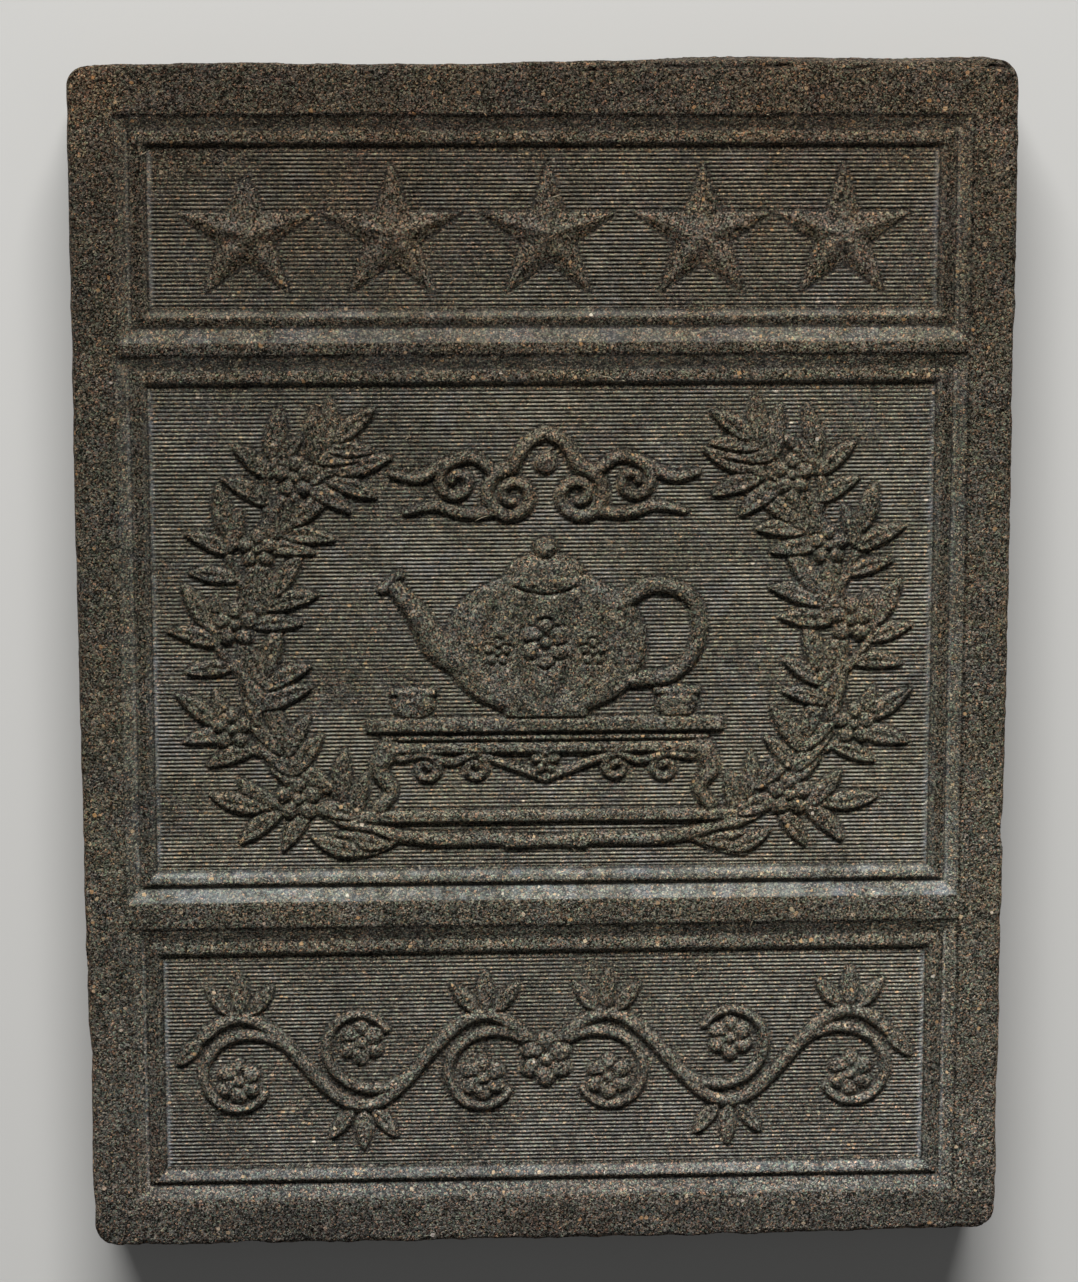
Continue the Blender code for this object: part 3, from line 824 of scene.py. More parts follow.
    def draw(self, relief: Relief, leaf_rise: float) -> None:
        """Draws a whole relief: strands, leaves, domes and boards."""
        for strand in relief.strands:
            self.draw_strand(strand)
        for leaf in relief.leaves:
            self.draw_leaf(leaf, leaf_rise)
        for dome in relief.domes:
            self.draw_dome(dome)
        for board in relief.boards:
            self.draw_board(board)

    def read(self, values: Field, x: Field, y: Field) -> Field:
        """Reads a field of this map between its cells.

        Args:
            values: The field.
            x: Where to read it.
            y: Where to read it.

        Returns:
            One value for each place.
        """
        i = np.clip((x - self.x[0]) / self.spacing, 0, len(self.x) - 1.001)
        j = np.clip((y - self.y[0]) / self.spacing, 0, len(self.y) - 1.001)
        left, low = i.astype(int), j.astype(int)
        s, t = i - left, j - low
        lower = values[low, left] * (1 - s) + values[low, left + 1] * s
        upper = values[low + 1, left] * (1 - s) + values[low + 1, left + 1] * s
        return lower * (1 - t) + upper * t


# Materials.


def new_material(name: str) -> tuple[bpy.types.Material, bpy.types.Node]:
    """Makes a material that uses nodes, and finds its Principled shader."""
    material = bpy.data.materials.new(name)
    material.use_nodes = True
    return material, material.node_tree.nodes["Principled BSDF"]


def new_group(name: str, inputs: dict[str, str], outputs: dict[str, str]) -> bpy.types.NodeTree:
    """Makes an empty node group.

    Args:
        name: Its name.
        inputs: The kind of each of its inputs, by name.
        outputs: The kind of each of its outputs, by name.

    Returns:
        The group.
    """
    tree = bpy.data.node_groups.new(name, "ShaderNodeTree")
    for direction, sockets in (("INPUT", inputs), ("OUTPUT", outputs)):
        for socket, kind in sockets.items():
            tree.interface.new_socket(socket, in_out=direction, socket_type="NodeSocket" + kind)
    return tree


class NodeBench:
    """Adds nodes to one tree and joins them."""

    def __init__(self, tree: bpy.types.NodeTree) -> None:
        """Keeps the tree that the nodes go into."""
        self.tree = tree

    def add(self, kind: str, settings: dict | None = None, **sockets: object) -> bpy.types.Node:
        """Adds one node.

        Args:
            kind: Blender's name for the node, without ShaderNode if it has that.
            settings: Properties of the node.
            **sockets: Values or sockets for its inputs, with _ for a space in the name or n_ before a number.

        Returns:
            The node.
        """
        node = self.tree.nodes.new(kind if kind.startswith("NodeGroup") else "ShaderNode" + kind)
        for name, value in (settings or {}).items():
            setattr(node, name, value)
        for name, value in sockets.items():
            key = int(name[2:]) if name.startswith("n_") else name.replace("_", " ")
            self.feed(node.inputs[key], value)
        return node

    def feed(self, socket: bpy.types.NodeSocket, value: object) -> None:
        """Sets a socket to a value, or joins another socket to it."""
        if isinstance(value, bpy.types.NodeSocket):
            self.tree.links.new(value, socket)
        else:
            socket.default_value = value

    def mix(self, factor: object, first: object, second: object, blend: str = "MIX") -> bpy.types.NodeSocket:
        """Mixes two colours.

        Args:
            factor: The second one's share, a number or a socket.
            first: A colour or a socket.
            second: A colour or a socket.
            blend: Blender's name for the kind of mix.

        Returns:
            The mixed colour's socket.
        """
        node = self.add("Mix", {"data_type": "RGBA", "blend_type": blend}, n_0=factor, n_6=first, n_7=second)
        return node.outputs[2]

    def math(self, operation: str, first: object, second: object = 0.0) -> bpy.types.NodeSocket:
        """One sum on numbers, such as MULTIPLY."""
        return self.add("Math", {"operation": operation}, n_0=first, n_1=second).outputs[0]

    def product(self, *factors: object) -> bpy.types.NodeSocket:
        """The product of numbers, multiplied from the first to the last."""
        total = factors[0]
        for factor in factors[1:]:
            total = self.math("MULTIPLY", total, factor)
        return total

    def multiply_add(self, value: object, factor: float, added: object) -> bpy.types.NodeSocket:
        """The value times the factor, plus what is added."""
        return self.add("Math", {"operation": "MULTIPLY_ADD"}, n_0=value, n_1=factor, n_2=added).outputs[0]

    def channels(self, colour: bpy.types.NodeSocket) -> bpy.types.bpy_prop_collection:
        """The red, green and blue of a colour."""
        return self.add("SeparateColor", Color=colour).outputs

    def mask(self, mask: Mask) -> bpy.types.NodeSocket:
        """One of the mesh's masks."""
        return self.add("Attribute", {"attribute_name": mask.value}).outputs["Fac"]

    def remap(
        self, value: object, low: float, high: float, to_low: float, to_high: float
    ) -> bpy.types.NodeSocket:
        """Stretches a range of numbers onto another and holds it there.

        Args:
            value: The number's socket.
            low: The start of its range.
            high: The end of its range.
            to_low: What the start becomes.
            to_high: What the end becomes.

        Returns:
            The new number's socket.
        """
        node = self.add(
            "MapRange", {"interpolation_type": "SMOOTHSTEP"},
            Value=value, From_Min=low, From_Max=high, To_Min=to_low, To_Max=to_high,
        )
        return node.outputs[0]

    def ramp(self, value: object, stops: Sequence[tuple[float, Row]]) -> bpy.types.NodeSocket:
        """A colour ramp.

        Args:
            value: The socket that picks the colour.
            stops: Places from 0 to 1 and their colours.

        Returns:
            The colour's socket.
        """
        node = self.add("ValToRGB", n_0=value)
        elements = node.color_ramp.elements
        while len(elements) < len(stops):
            elements.new(0.5)
        for element, (place, colour) in zip(elements, stops):
            element.position = place
            element.color = (*colour, 1.0)
        return node.outputs[0]


@dataclass(frozen=True)
class GrainEffect:
    """Crumbs of tea pressed together: a node group with their colours and their relief."""

    name: str = "tea_crumbs"
    crumb_colours: tuple = (
        (0.12, (0.004, 0.004, 0.003)), (0.30, (0.016, 0.015, 0.012)), (0.48, (0.047, 0.044, 0.035)),
        (0.66, (0.084, 0.079, 0.062)), (0.82, (0.148, 0.133, 0.097)), (0.97, (0.33, 0.28, 0.19)),
    )
    speck_colours: tuple = (
        (0.0, (0.36, 0.29, 0.18)), (0.35, (0.30, 0.20, 0.10)), (0.7, (0.28, 0.165, 0.07)),
        (1.0, (0.42, 0.38, 0.30)),
    )
    ruddy_tint: tuple = (1.48, 0.90, 0.66, 1.0)
    mossy_tint: tuple = (0.72, 1.02, 0.86, 1.0)
    # how far places are bent aside, in millimetres
    bending: tuple = (0.7, 0.7, 0.7)
    # how many speck cells there are to a millimetre
    speck_density: float = 0.95

    def group(self) -> bpy.types.NodeTree:
        """Makes the group, or finds the one made before.

        Returns:
            The group: it takes a place in millimetres, the size of the crumbs and the share of pale specks.
        """
        made = bpy.data.node_groups.get(self.name)
        if made:
            return made
        tree = new_group(
            self.name, {"Place": "Vector", "Crumb Size": "Float", "Specks": "Float"},
            {"Colour": "Color", "Height": "Float", "Shine": "Float"},
        )
        bench = NodeBench(tree)
        given = bench.add("NodeGroupInput").outputs
        density = bench.math("DIVIDE", 1.0, given["Crumb Size"])
        warp = bench.add("TexNoise", Vector=given["Place"], Scale=2.2, Detail=3.0)
        bent = bench.add(
            "VectorMath", {"operation": "MULTIPLY_ADD"}, n_0=warp.outputs["Color"], n_1=self.bending,
            n_2=given["Place"],
        )
        place = bent.outputs[0]
        fine = bench.add("TexVoronoi", Vector=place, Scale=density, Randomness=1.0)
        coarse = bench.add("TexVoronoi", Vector=place, Scale=bench.product(density, 0.43), Randomness=1.0)
        picked, larger = bench.channels(fine.outputs["Color"]), bench.channels(coarse.outputs["Color"])
        dust = bench.add("TexNoise", Vector=given["Place"], Scale=7.0, Detail=3.0, Roughness=0.75)
        blend = bench.multiply_add(picked[0], 0.80, bench.product(larger[0], 0.18))
        tone = bench.multiply_add(dust.outputs[0], 0.62, bench.math("SUBTRACT", blend, 0.315))
        crumbs = bench.ramp(tone, self.crumb_colours)
        ruddy = bench.remap(picked[1], 0.45, 1.0, 0.0, 1.0)
        mossy = bench.remap(picked[2], 0.4, 1.0, 0.0, 1.0)
        warmer = bench.mix(ruddy, crumbs, self.ruddy_tint, "MULTIPLY")
        tinted = bench.mix(mossy, warmer, self.mossy_tint, "MULTIPLY")
        cell = bench.add("TexVoronoi", Vector=place, Scale=self.speck_density, Randomness=1.0)
        chosen = bench.channels(cell.outputs["Color"])
        rare = bench.math("GREATER_THAN", bench.math("ADD", chosen[0], given["Specks"]), 1.0)
        small = bench.math("SUBTRACT", 0.42, bench.product(chosen[2], 0.24))
        near = bench.math("LESS_THAN", cell.outputs["Distance"], small)
        speck = bench.product(rare, near)
        colour = bench.mix(speck, tinted, bench.ramp(chosen[1], self.speck_colours))
        rough = bench.math("SUBTRACT", 1.0, fine.outputs["Distance"])
        lumps = bench.multiply_add(coarse.outputs["Distance"], -0.45, rough)
        height = bench.multiply_add(dust.outputs[0], 0.9, lumps)
        shine = bench.remap(tone, 0.3, 0.85, 0.03, 0.42)
        bench.add("NodeGroupOutput", Colour=colour, Height=height, Shine=shine)
        return tree


@dataclass(frozen=True)
class DriftEffect:
    """Changes across the brick: a node group with masks for redder and greyer places, and a shade that
    darkens it towards the top and the left and at the two end borders, in clouds, and lightens the upper left
    corner.
    """

    name: str = "drift_across_brick"
    # along Y or X: where a change starts and ends, and its value there
    redder_upwards: tuple = (0.0, 130.0, 0.0, 1.0)
    greyer_downwards: tuple = (-125.0, -15.0, 1.0, 0.0)
    darker_upwards: tuple = (-125.0, 115.0, 1.34, 0.72)
    lighter_rightwards: tuple = (-95.0, 95.0, 0.86, 1.15)
    lowest_border: tuple = (-115.0, -111.0, 0.72, 1.0)
    highest_border: tuple = (110.5, 114.0, 1.0, 0.84)
    corner_x: tuple = (-92.0, -68.0, 0.5, 0.0)
    corner_y: tuple = (98.0, 116.0, 0.0, 1.0)
    # what a noise's range turns into
    red_patches: tuple = (0.5, 0.7, 0.0, 0.45)
    grey_patches: tuple = (0.44, 0.66, 0.0, 0.8)
    cloudiness: tuple = (0.3, 0.7, 0.80, 1.18)

    def group(self) -> bpy.types.NodeTree:
        """Makes the group, or finds the one made before.

        Returns:
            The group: it takes a place in millimetres and gives three masks.
        """
        made = bpy.data.node_groups.get(self.name)
        if made:
            return made
        tree = new_group(self.name, {"Place": "Vector"}, dict.fromkeys(("Red", "Grey", "Shade"), "Float"))
        bench = NodeBench(tree)
        given = bench.add("NodeGroupInput").outputs
        broad = bench.add("TexNoise", Vector=given["Place"], Scale=0.028, Detail=4.0, Roughness=0.62)
        patchy = bench.add("TexNoise", Vector=given["Place"], Scale=0.16, Detail=3.0, Roughness=0.6)
        cloudy = bench.add("TexNoise", Vector=given["Place"], Scale=0.07, Detail=5.0, Roughness=0.65)
        place = bench.add("SeparateXYZ", Vector=given["Place"]).outputs
        upper = bench.remap(place["Y"], *self.redder_upwards)
        red = bench.math("ADD", bench.remap(broad.outputs[0], *self.red_patches), upper)
        lower = bench.remap(place["Y"], *self.greyer_downwards)
        grey = bench.math("MAXIMUM", bench.remap(patchy.outputs[0], *self.grey_patches), lower)
        clouds = bench.remap(cloudy.outputs[0], *self.cloudiness)
        lighter = bench.remap(place["Y"], *self.darker_upwards)
        rightward = bench.remap(place["X"], *self.lighter_rightwards)
        borders = bench.product(
            bench.remap(place["Y"], *self.lowest_border), bench.remap(place["Y"], *self.highest_border)
        )
        corner = bench.product(
            bench.remap(place["X"], *self.corner_x), bench.remap(place["Y"], *self.corner_y)
        )
        shade = bench.product(lighter, rightward, borders, clouds, bench.math("ADD", corner, 1.0))
        bench.add("NodeGroupOutput", Red=red, Grey=grey, Shade=shade)
        return tree


@dataclass(frozen=True)
class PressedTeaFinish:
    """Pressed tea: dull crumbs on rough places, a tighter, greyer and glossier skin on pressed ones, which a
    painted sheen also lightens, and painted shade in its hollows.
    """

    part: Part
    crumb_size: float
    specks: float
    # a greyer tone for pressed places and how much a painted sheen lightens them; polished places also turn
    # bluer, partly a painted sheen
    skin_and_sheen_tint: tuple = (0.206, 0.214, 0.209, 1.0)
    painted_sheen_gain: tuple = (1.80, 1.84, 1.68, 1.0)
    polish_and_sheen_tint: tuple = (0.96, 1.0, 1.12, 1.0)
    red_tint: tuple = (1.26, 0.93, 0.70, 1.0)
    grey_tint: tuple = (0.98, 1.0, 1.18, 1.0)
    # the colour that the painted shade darkens towards
    painted_shade_tint: tuple = (0.12, 0.11, 0.10, 1.0)
    bump_depth: float = 0.24

    def material(self) -> bpy.types.Material:
        """Makes the material.

        Returns:
            A material that reads the mesh's pressed, polished, rim, hollow and carved attributes.
        """
        material, shader = new_material(f"pressed_tea_{self.part.value}")
        bench = NodeBench(material.node_tree)
        place = bench.add(
            "VectorMath", {"operation": "SCALE"}, n_0=bench.add("TexCoord").outputs["Object"], Scale=1 / MM
        ).outputs[0]
        crumbs = bench.add(
            "Group", {"node_tree": GrainEffect().group()}, Place=place, Crumb_Size=self.crumb_size,
            Specks=self.specks,
        ).outputs
        drift = bench.add("Group", {"node_tree": DriftEffect().group()}, Place=place).outputs
        pressed, carved = bench.mask(Mask.PRESSED_AND_SHEEN), bench.mask(Mask.CARVED)
        # pressed places take a greyer tone and a painted sheen lightens them
        tight = bench.product(pressed, pressed, 0.3)
        sealed = bench.mix(tight, crumbs["Colour"], self.skin_and_sheen_tint)
        skin = bench.mix(pressed, sealed, self.painted_sheen_gain, "MULTIPLY")
        redness = bench.math("MAXIMUM", bench.mask(Mask.RIM), bench.product(drift["Red"], 0.62))
        warm = bench.mix(bench.product(redness, 0.8), skin, self.red_tint, "MULTIPLY")
        # polished places turn bluer, partly a painted sheen
        bluer = bench.mix(bench.mask(Mask.POLISHED), warm, self.polish_and_sheen_tint, "MULTIPLY")
        cool = bench.mix(drift["Grey"], bluer, self.grey_tint, "MULTIPLY")
        shade = bench.add("CombineColor", n_0=drift["Shade"], n_1=drift["Shade"], n_2=drift["Shade"])
        colour = bench.mix(1.0, cool, shade.outputs[0], "MULTIPLY")
        # painted shade: grooves, creases, cracks and motif outlines are darkened by the hollow mask, which
        # also holds some dark dust
        with_painted_shade = bench.mix(bench.product(bench.mask(Mask.SHADE_AND_DUST), 0.8), colour, self.painted_shade_tint, "MULTIPLY")
        bench.feed(shader.inputs["Base Color"], with_painted_shade)
        bench.feed(shader.inputs["Roughness"], bench.remap(pressed, 0.0, 1.0, 0.62, 0.42))
        broken = bench.multiply_add(crumbs["Shine"], 0.9, 0.28)
        gloss = bench.math("MAXIMUM", crumbs["Shine"], bench.product(pressed, broken))
        bench.feed(shader.inputs["Specular IOR Level"], gloss)
        smoothed = bench.math("MAXIMUM", bench.product(pressed, 0.4), carved)
        strength = bench.remap(smoothed, 0.0, 1.0, 1.0, 0.42)
        bump = bench.add("Bump", Height=crumbs["Height"], Strength=strength, Distance=self.bump_depth * MM)
        bench.feed(shader.inputs["Normal"], bump.outputs[0])
        return material


@dataclass(frozen=True)
class StemFinish:
    """A pale, dry bit of stem or leaf vein."""

    name: str
    colour: Row
    dark: Row
    # how many streaks there are to a metre
    streaks: float = 2600.0
    bump_depth: float = 0.05

    def material(self) -> bpy.types.Material:
        """Makes the material: streaks along a dull, straw-like skin."""
        material, shader = new_material(self.name)
        bench = NodeBench(material.node_tree)
        place = bench.add("TexCoord").outputs["Object"]
        streaks = bench.add("TexNoise", Vector=place, Scale=self.streaks, Detail=3.0).outputs[0]
        colour = bench.ramp(streaks, ((0.35, self.dark), (0.62, self.colour)))
        bench.feed(shader.inputs["Base Color"], colour)
        bump = bench.add("Bump", Height=streaks, Strength=0.5, Distance=self.bump_depth * MM)
        bench.feed(shader.inputs["Normal"], bump.outputs[0])
        shader.inputs["Roughness"].default_value = 0.6
        return material


# The brick.


@dataclass(frozen=True)
class Panel:
    """One sunk panel.

    Attributes:
        low: Its lowest Y, at the top of its sloped sides.
        high: Its highest Y there.
        polish: How smooth its sloped sides are, from 0 to 1, which also sets how much a painted sheen
            lightens them.
        lower_bead: How far its lower side has the sharp bead, from 0 to 1.
    """

    low: float
    high: float
    polish: float
    lower_bead: float


@dataclass
class Face:
    """The brick's face as fields on the grid of a chart.

    Attributes:
        chart: The map that the fields belong to.
        z: The height.
        ribs: How high the ribs stand, as a share of the whole.
        pressed: How smooth the skin is, from 0 to 1, which also sets how much a painted sheen lightens it.
        hollow: Painted shade in the grooves, creases, cracks and round the motifs, with some dark dust, and
            the motifs' darker tops.
        coarse: How coarse it is: 1 on the plain border.
        carved: Where the motifs are.
    """

    chart: HeightMap
    z: Field
    ribs: Field
    pressed: Field
    hollow: Field
    coarse: Field
    carved: Field


@dataclass(frozen=True)
class Moulding:
    """The stepped and beaded side of a panel; a place on it is told by how far in from its top it lies."""

    # how far in, and how far down
    profile: tuple = (
        (0.0, 0.0), (0.14, 0.44), (1.5, 1.08), (2.85, 1.7), (3.02, 1.66), (3.5, 1.4), (4.2, 1.08),
        (4.75, 0.88), (5.05, 0.84), (5.4, 0.98), (5.9, 1.36), (6.35, 1.8), (6.65, 2.0),
    )
    # the same along a lower side with a sharp bead
    sharp_profile: tuple = (
        (0.0, 0.0), (0.14, 0.44), (1.5, 1.08), (2.9, 1.72), (3.1, 1.72), (3.45, 1.4), (3.85, 1.02),
        (4.2, 0.84), (4.6, 0.86), (5.2, 1.06), (5.8, 1.38), (6.35, 1.78), (6.65, 2.0),
    )
    # lines along it, how far in and how wide: the painted shadow lines, the painted shadow under a sharp
    # bead, the slope's smooth foot
    folds: tuple = ((0.08, 0.2), (3.02, 0.22), (6.4, 0.24))
    sharp_fold: tuple = (3.35, 0.32)
    foot: tuple = (2.55, 0.25)
    # strips along it: where each starts, is full, fades and ends
    dull_strip: tuple = (3.2, 3.7, 5.0, 5.35)
    bead_strip: tuple = (3.0, 3.3, 6.2, 6.5)
    sharp_strip: tuple = (4.0, 4.4, 6.1, 6.5)
    margin_strip: tuple = (6.5, 6.65, 7.2, 7.9)

    @property
    def width(self) -> float:
        """How far in the moulding ends."""
        return self.profile[-1][0]

    def depth(self, inside: Field, sharp: Field) -> Field:
        """Finds how far down the moulding lies.

        Args:
            inside: How far in each point lies.
            sharp: How far each point has the sharp bead, from 0 to 1.

        Returns:
            The depth of each point.
        """
        plain, keen = (np.array(smooth(rows, 8)).T for rows in (self.profile, self.sharp_profile))
        return np.interp(inside, *plain) * (1 - sharp) + np.interp(inside, *keen) * sharp

    def covers(self, inside: Field) -> Field:
        """How far points lie on the moulding, from 0 to 1."""
        return band(inside, 0.05, 0.25, self.width - 0.1, self.width + 0.2)

    def hollow(self, inside: Field, upright: Field, sharp: Field) -> Field:
        """Finds the moulding's painted shade: shadow lines at its step, in its valley and at its bead's foot,
        the shadow under a sharp bead, and a darker bead along the left and right sides.

        Args:
            inside: How far in each point lies.
            upright: How far each point is on a left or right side, from 0 to 1.
            sharp: How far it has the sharp bead, from 0 to 1.

        Returns:
            The darkness of each point, from 0 to 1.
        """
        lines = [ridge(inside, *fold) for fold in self.folds]
        bead = band(inside, *self.bead_strip)
        return np.maximum.reduce([*lines, sharp * ridge(inside, *self.sharp_fold), 0.3 * bead * upright])

    def smoothness(self, inside: Field, upright: Field, sharp: Field, slopes: Field) -> Field:
        """Finds how smooth the moulding and the margin within it are, which also sets how much a painted
        sheen lightens them.

        Args:
            inside: How far in each point lies.
            upright: How far each point is on a left or right side, from 0 to 1.
            sharp: How far it has the sharp bead, from 0 to 1.
            slopes: How smooth the slopes are there, from 0 to 1, and so how much painted sheen they take.

        Returns:
            How smooth each point is and how far a painted sheen lightens it, from 0 to 1.
        """
        sides = self.covers(inside) * (1 - 0.85 * band(inside, *self.dull_strip)) * slopes
        margin = band(inside, *self.margin_strip) * upright
        foot = ridge(inside, *self.foot) * (0.3 + 0.7 * upright)
        return np.maximum.reduce([sides, margin, 0.9 * foot, 0.62 * sharp * band(inside, *self.sharp_strip)])


@dataclass
class TeaBrick:
    """The whole brick as one closed mesh: moulded face, rounded rim, crumbly walls and flat back."""

    half_width: float
    half_height: float
    thickness: float
    corner_radius: float = 4.3
    panel_half_width: float = 84.4
    panels: tuple = (
        Panel(65.6, 110.7, 0.72, 0.0), Panel(-48.6, 63.6, 0.88, 1.0), Panel(-111.5, -53.3, 0.44, 1.0),
    )
    moulding: Moulding = Moulding()
    # how far from a panel's diagonal its sides blend into each other
    mitre: float = 0.3
    rib_pitch: float = 0.8
    rib_height: float = 0.42
    rib_margin: float = 0.7
    # the ribs' groove, flank and crest as shares of their height
    rib_section: tuple = (0.0, 0.9, 1.0)
    leaf_rise: float = 1.15
    face_drop: float = 0.14
    map_spacing: float = 0.1
    # the steps between the mesh's lines: across the picture, along the border and on mouldings and rim
    column_step: float = 0.4
    border_step: float = 0.48
    fine_step: float = 0.3
    wall_step: float = 0.75
    rim_width: float = 2.4
    rim_round: float = 1.3
    # how far the wall lies inside the face's edge, and how far its foot leans in
    wall_inset: float = 0.16
    wall_lean: float = 0.6
    # the close rings under the rim, each with as many points as the face's edge
    close_rings: int = 3
    close_step: float = 0.35
    # what wears, lumps and wanders
    relief_wear: Lumps = Lumps(6.1, 5.3, 11)
    relief_grain: Lumps = Lumps(0.9, 0.8, 12)
    broad_swell: Lumps = Lumps(17.0, 11.0, 13)
    middle_swell: Lumps = Lumps(5.0, 3.4, 14)
    skin_grain: Lumps = Lumps(0.9, 0.8, 15)
    streaks: Lumps = Lumps(6.0, 1.3, 31)
    crumbs: Lumps = Lumps(1.9, 1.5, 32)
    pits: Lumps = Lumps(0.9, 0.75, 33)
    ragged: Lumps = Lumps(1.6, 1.6, 34)
    crack_course: Lumps = Lumps(7.0, 9.0, 35)
    crack_gaps: Lumps = Lumps(5.0, 9.0, 36)
    small_crumbs: Lumps = Lumps(0.95, 0.85, 38)
    side_seed: int = 21
    end_seed: int = 22
    # the first star's worn tip, and the worn ribs at the upper left: middle, half length and half width
    worn_tip: tuple = (-58.7, 101.6)
    worn_ribs: tuple = (-80.0, 106.0, 34.0, 15.0)
    # how pressed the ribs' crests are, by Y, which also sets the painted highlight that lightens them
    crest_polish_and_sheen: tuple = (
        (-121.0, 0.8), (-54.0, 0.84), (-48.0, 1.0), (40.0, 1.0), (60.0, 0.9), (66.0, 0.88), (121.0, 0.73),
    )
    # how far the outline is worn back along the left side, by Y, and along the upper and lower side, by X
    left_wear: tuple = (
        (-121.0, 0.3), (-112.8, 0.55), (-106.0, 0.25), (-90.0, 0.25), (-84.0, 0.6), (-80.0, 0.75),
        (-76.0, 0.45), (-70.0, 0.0), (60.0, 0.0), (68.0, 0.15), (100.0, 0.2), (121.0, 0.1),
    )
    upper_wear: tuple = (
        (-93.5, 0.3), (-59.0, 0.15), (-45.0, 0.4), (-20.0, 0.5), (4.0, 0.1), (20.0, 0.0), (93.5, 0.0),
    )
    lower_wear: tuple = ((-93.5, 0.0), (50.0, 0.0), (71.0, 0.2), (85.0, 0.4), (93.5, 0.65))
    # how far the middle panel's left side lies aside, by X, and its middle and half its reach along Y
    left_shift: tuple = ((-93.5, 0.0), (-85.0, -0.7), (-76.0, -0.7), (-30.0, 0.0))
    shift_reach: tuple = (7.5, 59.0)
    # Y of a line of the face, and how far it lies above that on the left and on the right
    slants: tuple = (
        (-121.0, 0.0, 0.0), (-111.5, 0.5, 0.02), (-53.3, 0.12, -0.2), (-48.6, 0.68, 0.08),
        (63.6, 0.12, -0.42), (65.6, 0.42, -0.32), (110.7, 0.26, -0.56), (121.0, 0.0, 0.0),
    )
    # chips out of the rim: X, Y, Z and radius of what broke away
    chips: tuple = (
        (-94.6, -82.0, 19.0, 2.6), (-95.0, 1.5, 22.8, 2.4), (-95.3, -60.0, 22.4, 2.8),
        (-62.0, -122.6, 21.6, 3.0), (-14.0, -122.8, 20.4, 2.9), (37.0, -122.4, 22.2, 2.6),
        (72.0, -122.6, 19.8, 2.9), (94.9, 31.0, 22.6, 2.4), (95.2, -35.0, 21.6, 2.9),
        (94.8, 84.0, 23.0, 2.3), (58.0, 122.4, 23.2, 3.0), (84.0, 122.6, 22.6, 3.4),
        (30.0, 122.5, 23.4, 2.6), (-40.0, 122.6, 23.4, 2.5),
    )

    @property
    def inset(self) -> float:
        """The width of the moulding round a panel."""
        return self.moulding.width

    def lay_out_relief(self) -> Relief:
        """Lays out the picture and the scroll.

        Returns:
            The relief of the two lower panels.
        """
        relief = Relief()
        Stand(TeaPot().draw(relief)).draw(relief)
        Cloud().draw(relief)
        picture = self.panels[1]
        TeaBranches().draw(
            relief, picture.low + self.inset, picture.high - self.inset, self.panel_half_width - self.inset
        )
        RunningScroll().draw(relief)
        return relief

    def worn_relief(self, chart: HeightMap) -> Field:
        """The drawn relief as wear has left it: uneven, softened, and without the first star's upper tip."""
        x, y = chart.x, chart.y
        tip_x, tip_y = self.worn_tip
        gone = 0.9 * ease(-np.hypot(x - tip_x, y[:, None] - tip_y), -6.5, -3.0)
        wear = 1 + 0.04 * self.relief_wear.over(x, y) + 0.05 * self.relief_grain.over(x, y)
        return soften(chart.height * (1 - gone) * np.clip(wear, 0.6, 1.25), 0.13 / self.map_spacing)

    def draw_face(self) -> Face:
        """Draws the face as fields on a fine grid.

        Returns:
            The face.
        """
        chart = HeightMap(self.half_width, self.half_height, self.map_spacing)
        chart.draw_stars(StarRow())
        chart.draw(self.lay_out_relief(), self.leaf_rise)
        x, y = chart.x, chart.y
        motif = self.worn_relief(chart)
        halo = soften((motif > 0.06).astype(np.float32), 0.42 / self.map_spacing)
        z = np.full(motif.shape, self.thickness - self.face_drop, np.float32)
        ground, sides, smoothness = (np.zeros_like(motif) for _ in range(3))
        # painted shade: dark outlines round the motifs, with some dark dust
        hollow = np.clip(2.2 * halo, 0, 1) * (1 - ease(motif, 0.08, 0.4))
        for panel in self.panels:
            cells, inside, lower, upright = self.panel_places(chart, panel)
            sharp = panel.lower_bead * lower
            depth = self.moulding.depth(inside, sharp)
            z[cells] = self.thickness - self.face_drop * ease(-depth, -0.4, 0.0) - depth
            ground[cells] = ease(inside, self.inset, self.inset + self.rib_margin)
            sides[cells] = self.moulding.covers(inside)
            # painted sheen: the lower slopes, which face the key light, get twice the share of the others
            slopes = (0.5 + 0.5 * lower) * panel.polish
            smoothness[cells] = self.moulding.smoothness(inside, upright, sharp, slopes)
            # painted shade along the mouldings' step, valley and bead
            hollow[cells] = np.maximum(hollow[cells], self.moulding.hollow(inside, upright, sharp))
        z = soften(z, 0.06 / self.map_spacing) + motif
        swell = 0.5 * self.broad_swell.over(x, y) + 0.5 * self.middle_swell.over(x, y)
        ribs = ground * np.clip(1 - 2.3 * halo, 0, 1) * np.clip(1 + 0.22 * swell, 0.35, 1.2)
        worn_x, worn_y, half_length, half_width = self.worn_ribs
        away = np.hypot((x - worn_x) / half_length, (y[:, None] - worn_y) / half_width)
        ribs *= 1 - 0.75 * ease(-away, -1.0, -0.3)
        # the motifs' tops are given a darker tone
        hollow = np.maximum(hollow, 0.24 * ease(motif, 0.3, 0.7))
        # a painted highlight on the motifs' tops
        smoothness = np.maximum(smoothness, 0.24 * ease(motif, 0.7, 1.2))
        foot = 0.5 * np.clip(2 * halo, 0, 1) * ground * (1 - ease(motif, 0.1, 0.5))
        pressed = np.clip(smoothness + foot, 0, 1)
        pressed *= np.clip(0.88 + 0.14 * swell + 0.11 * self.skin_grain.over(x, y), 0.25, 1.0)
        coarse = np.clip(1 - ground - sides, 0, 1)
        return Face(chart, z, ribs, pressed, hollow, coarse, ease(motif, 0.05, 0.3))

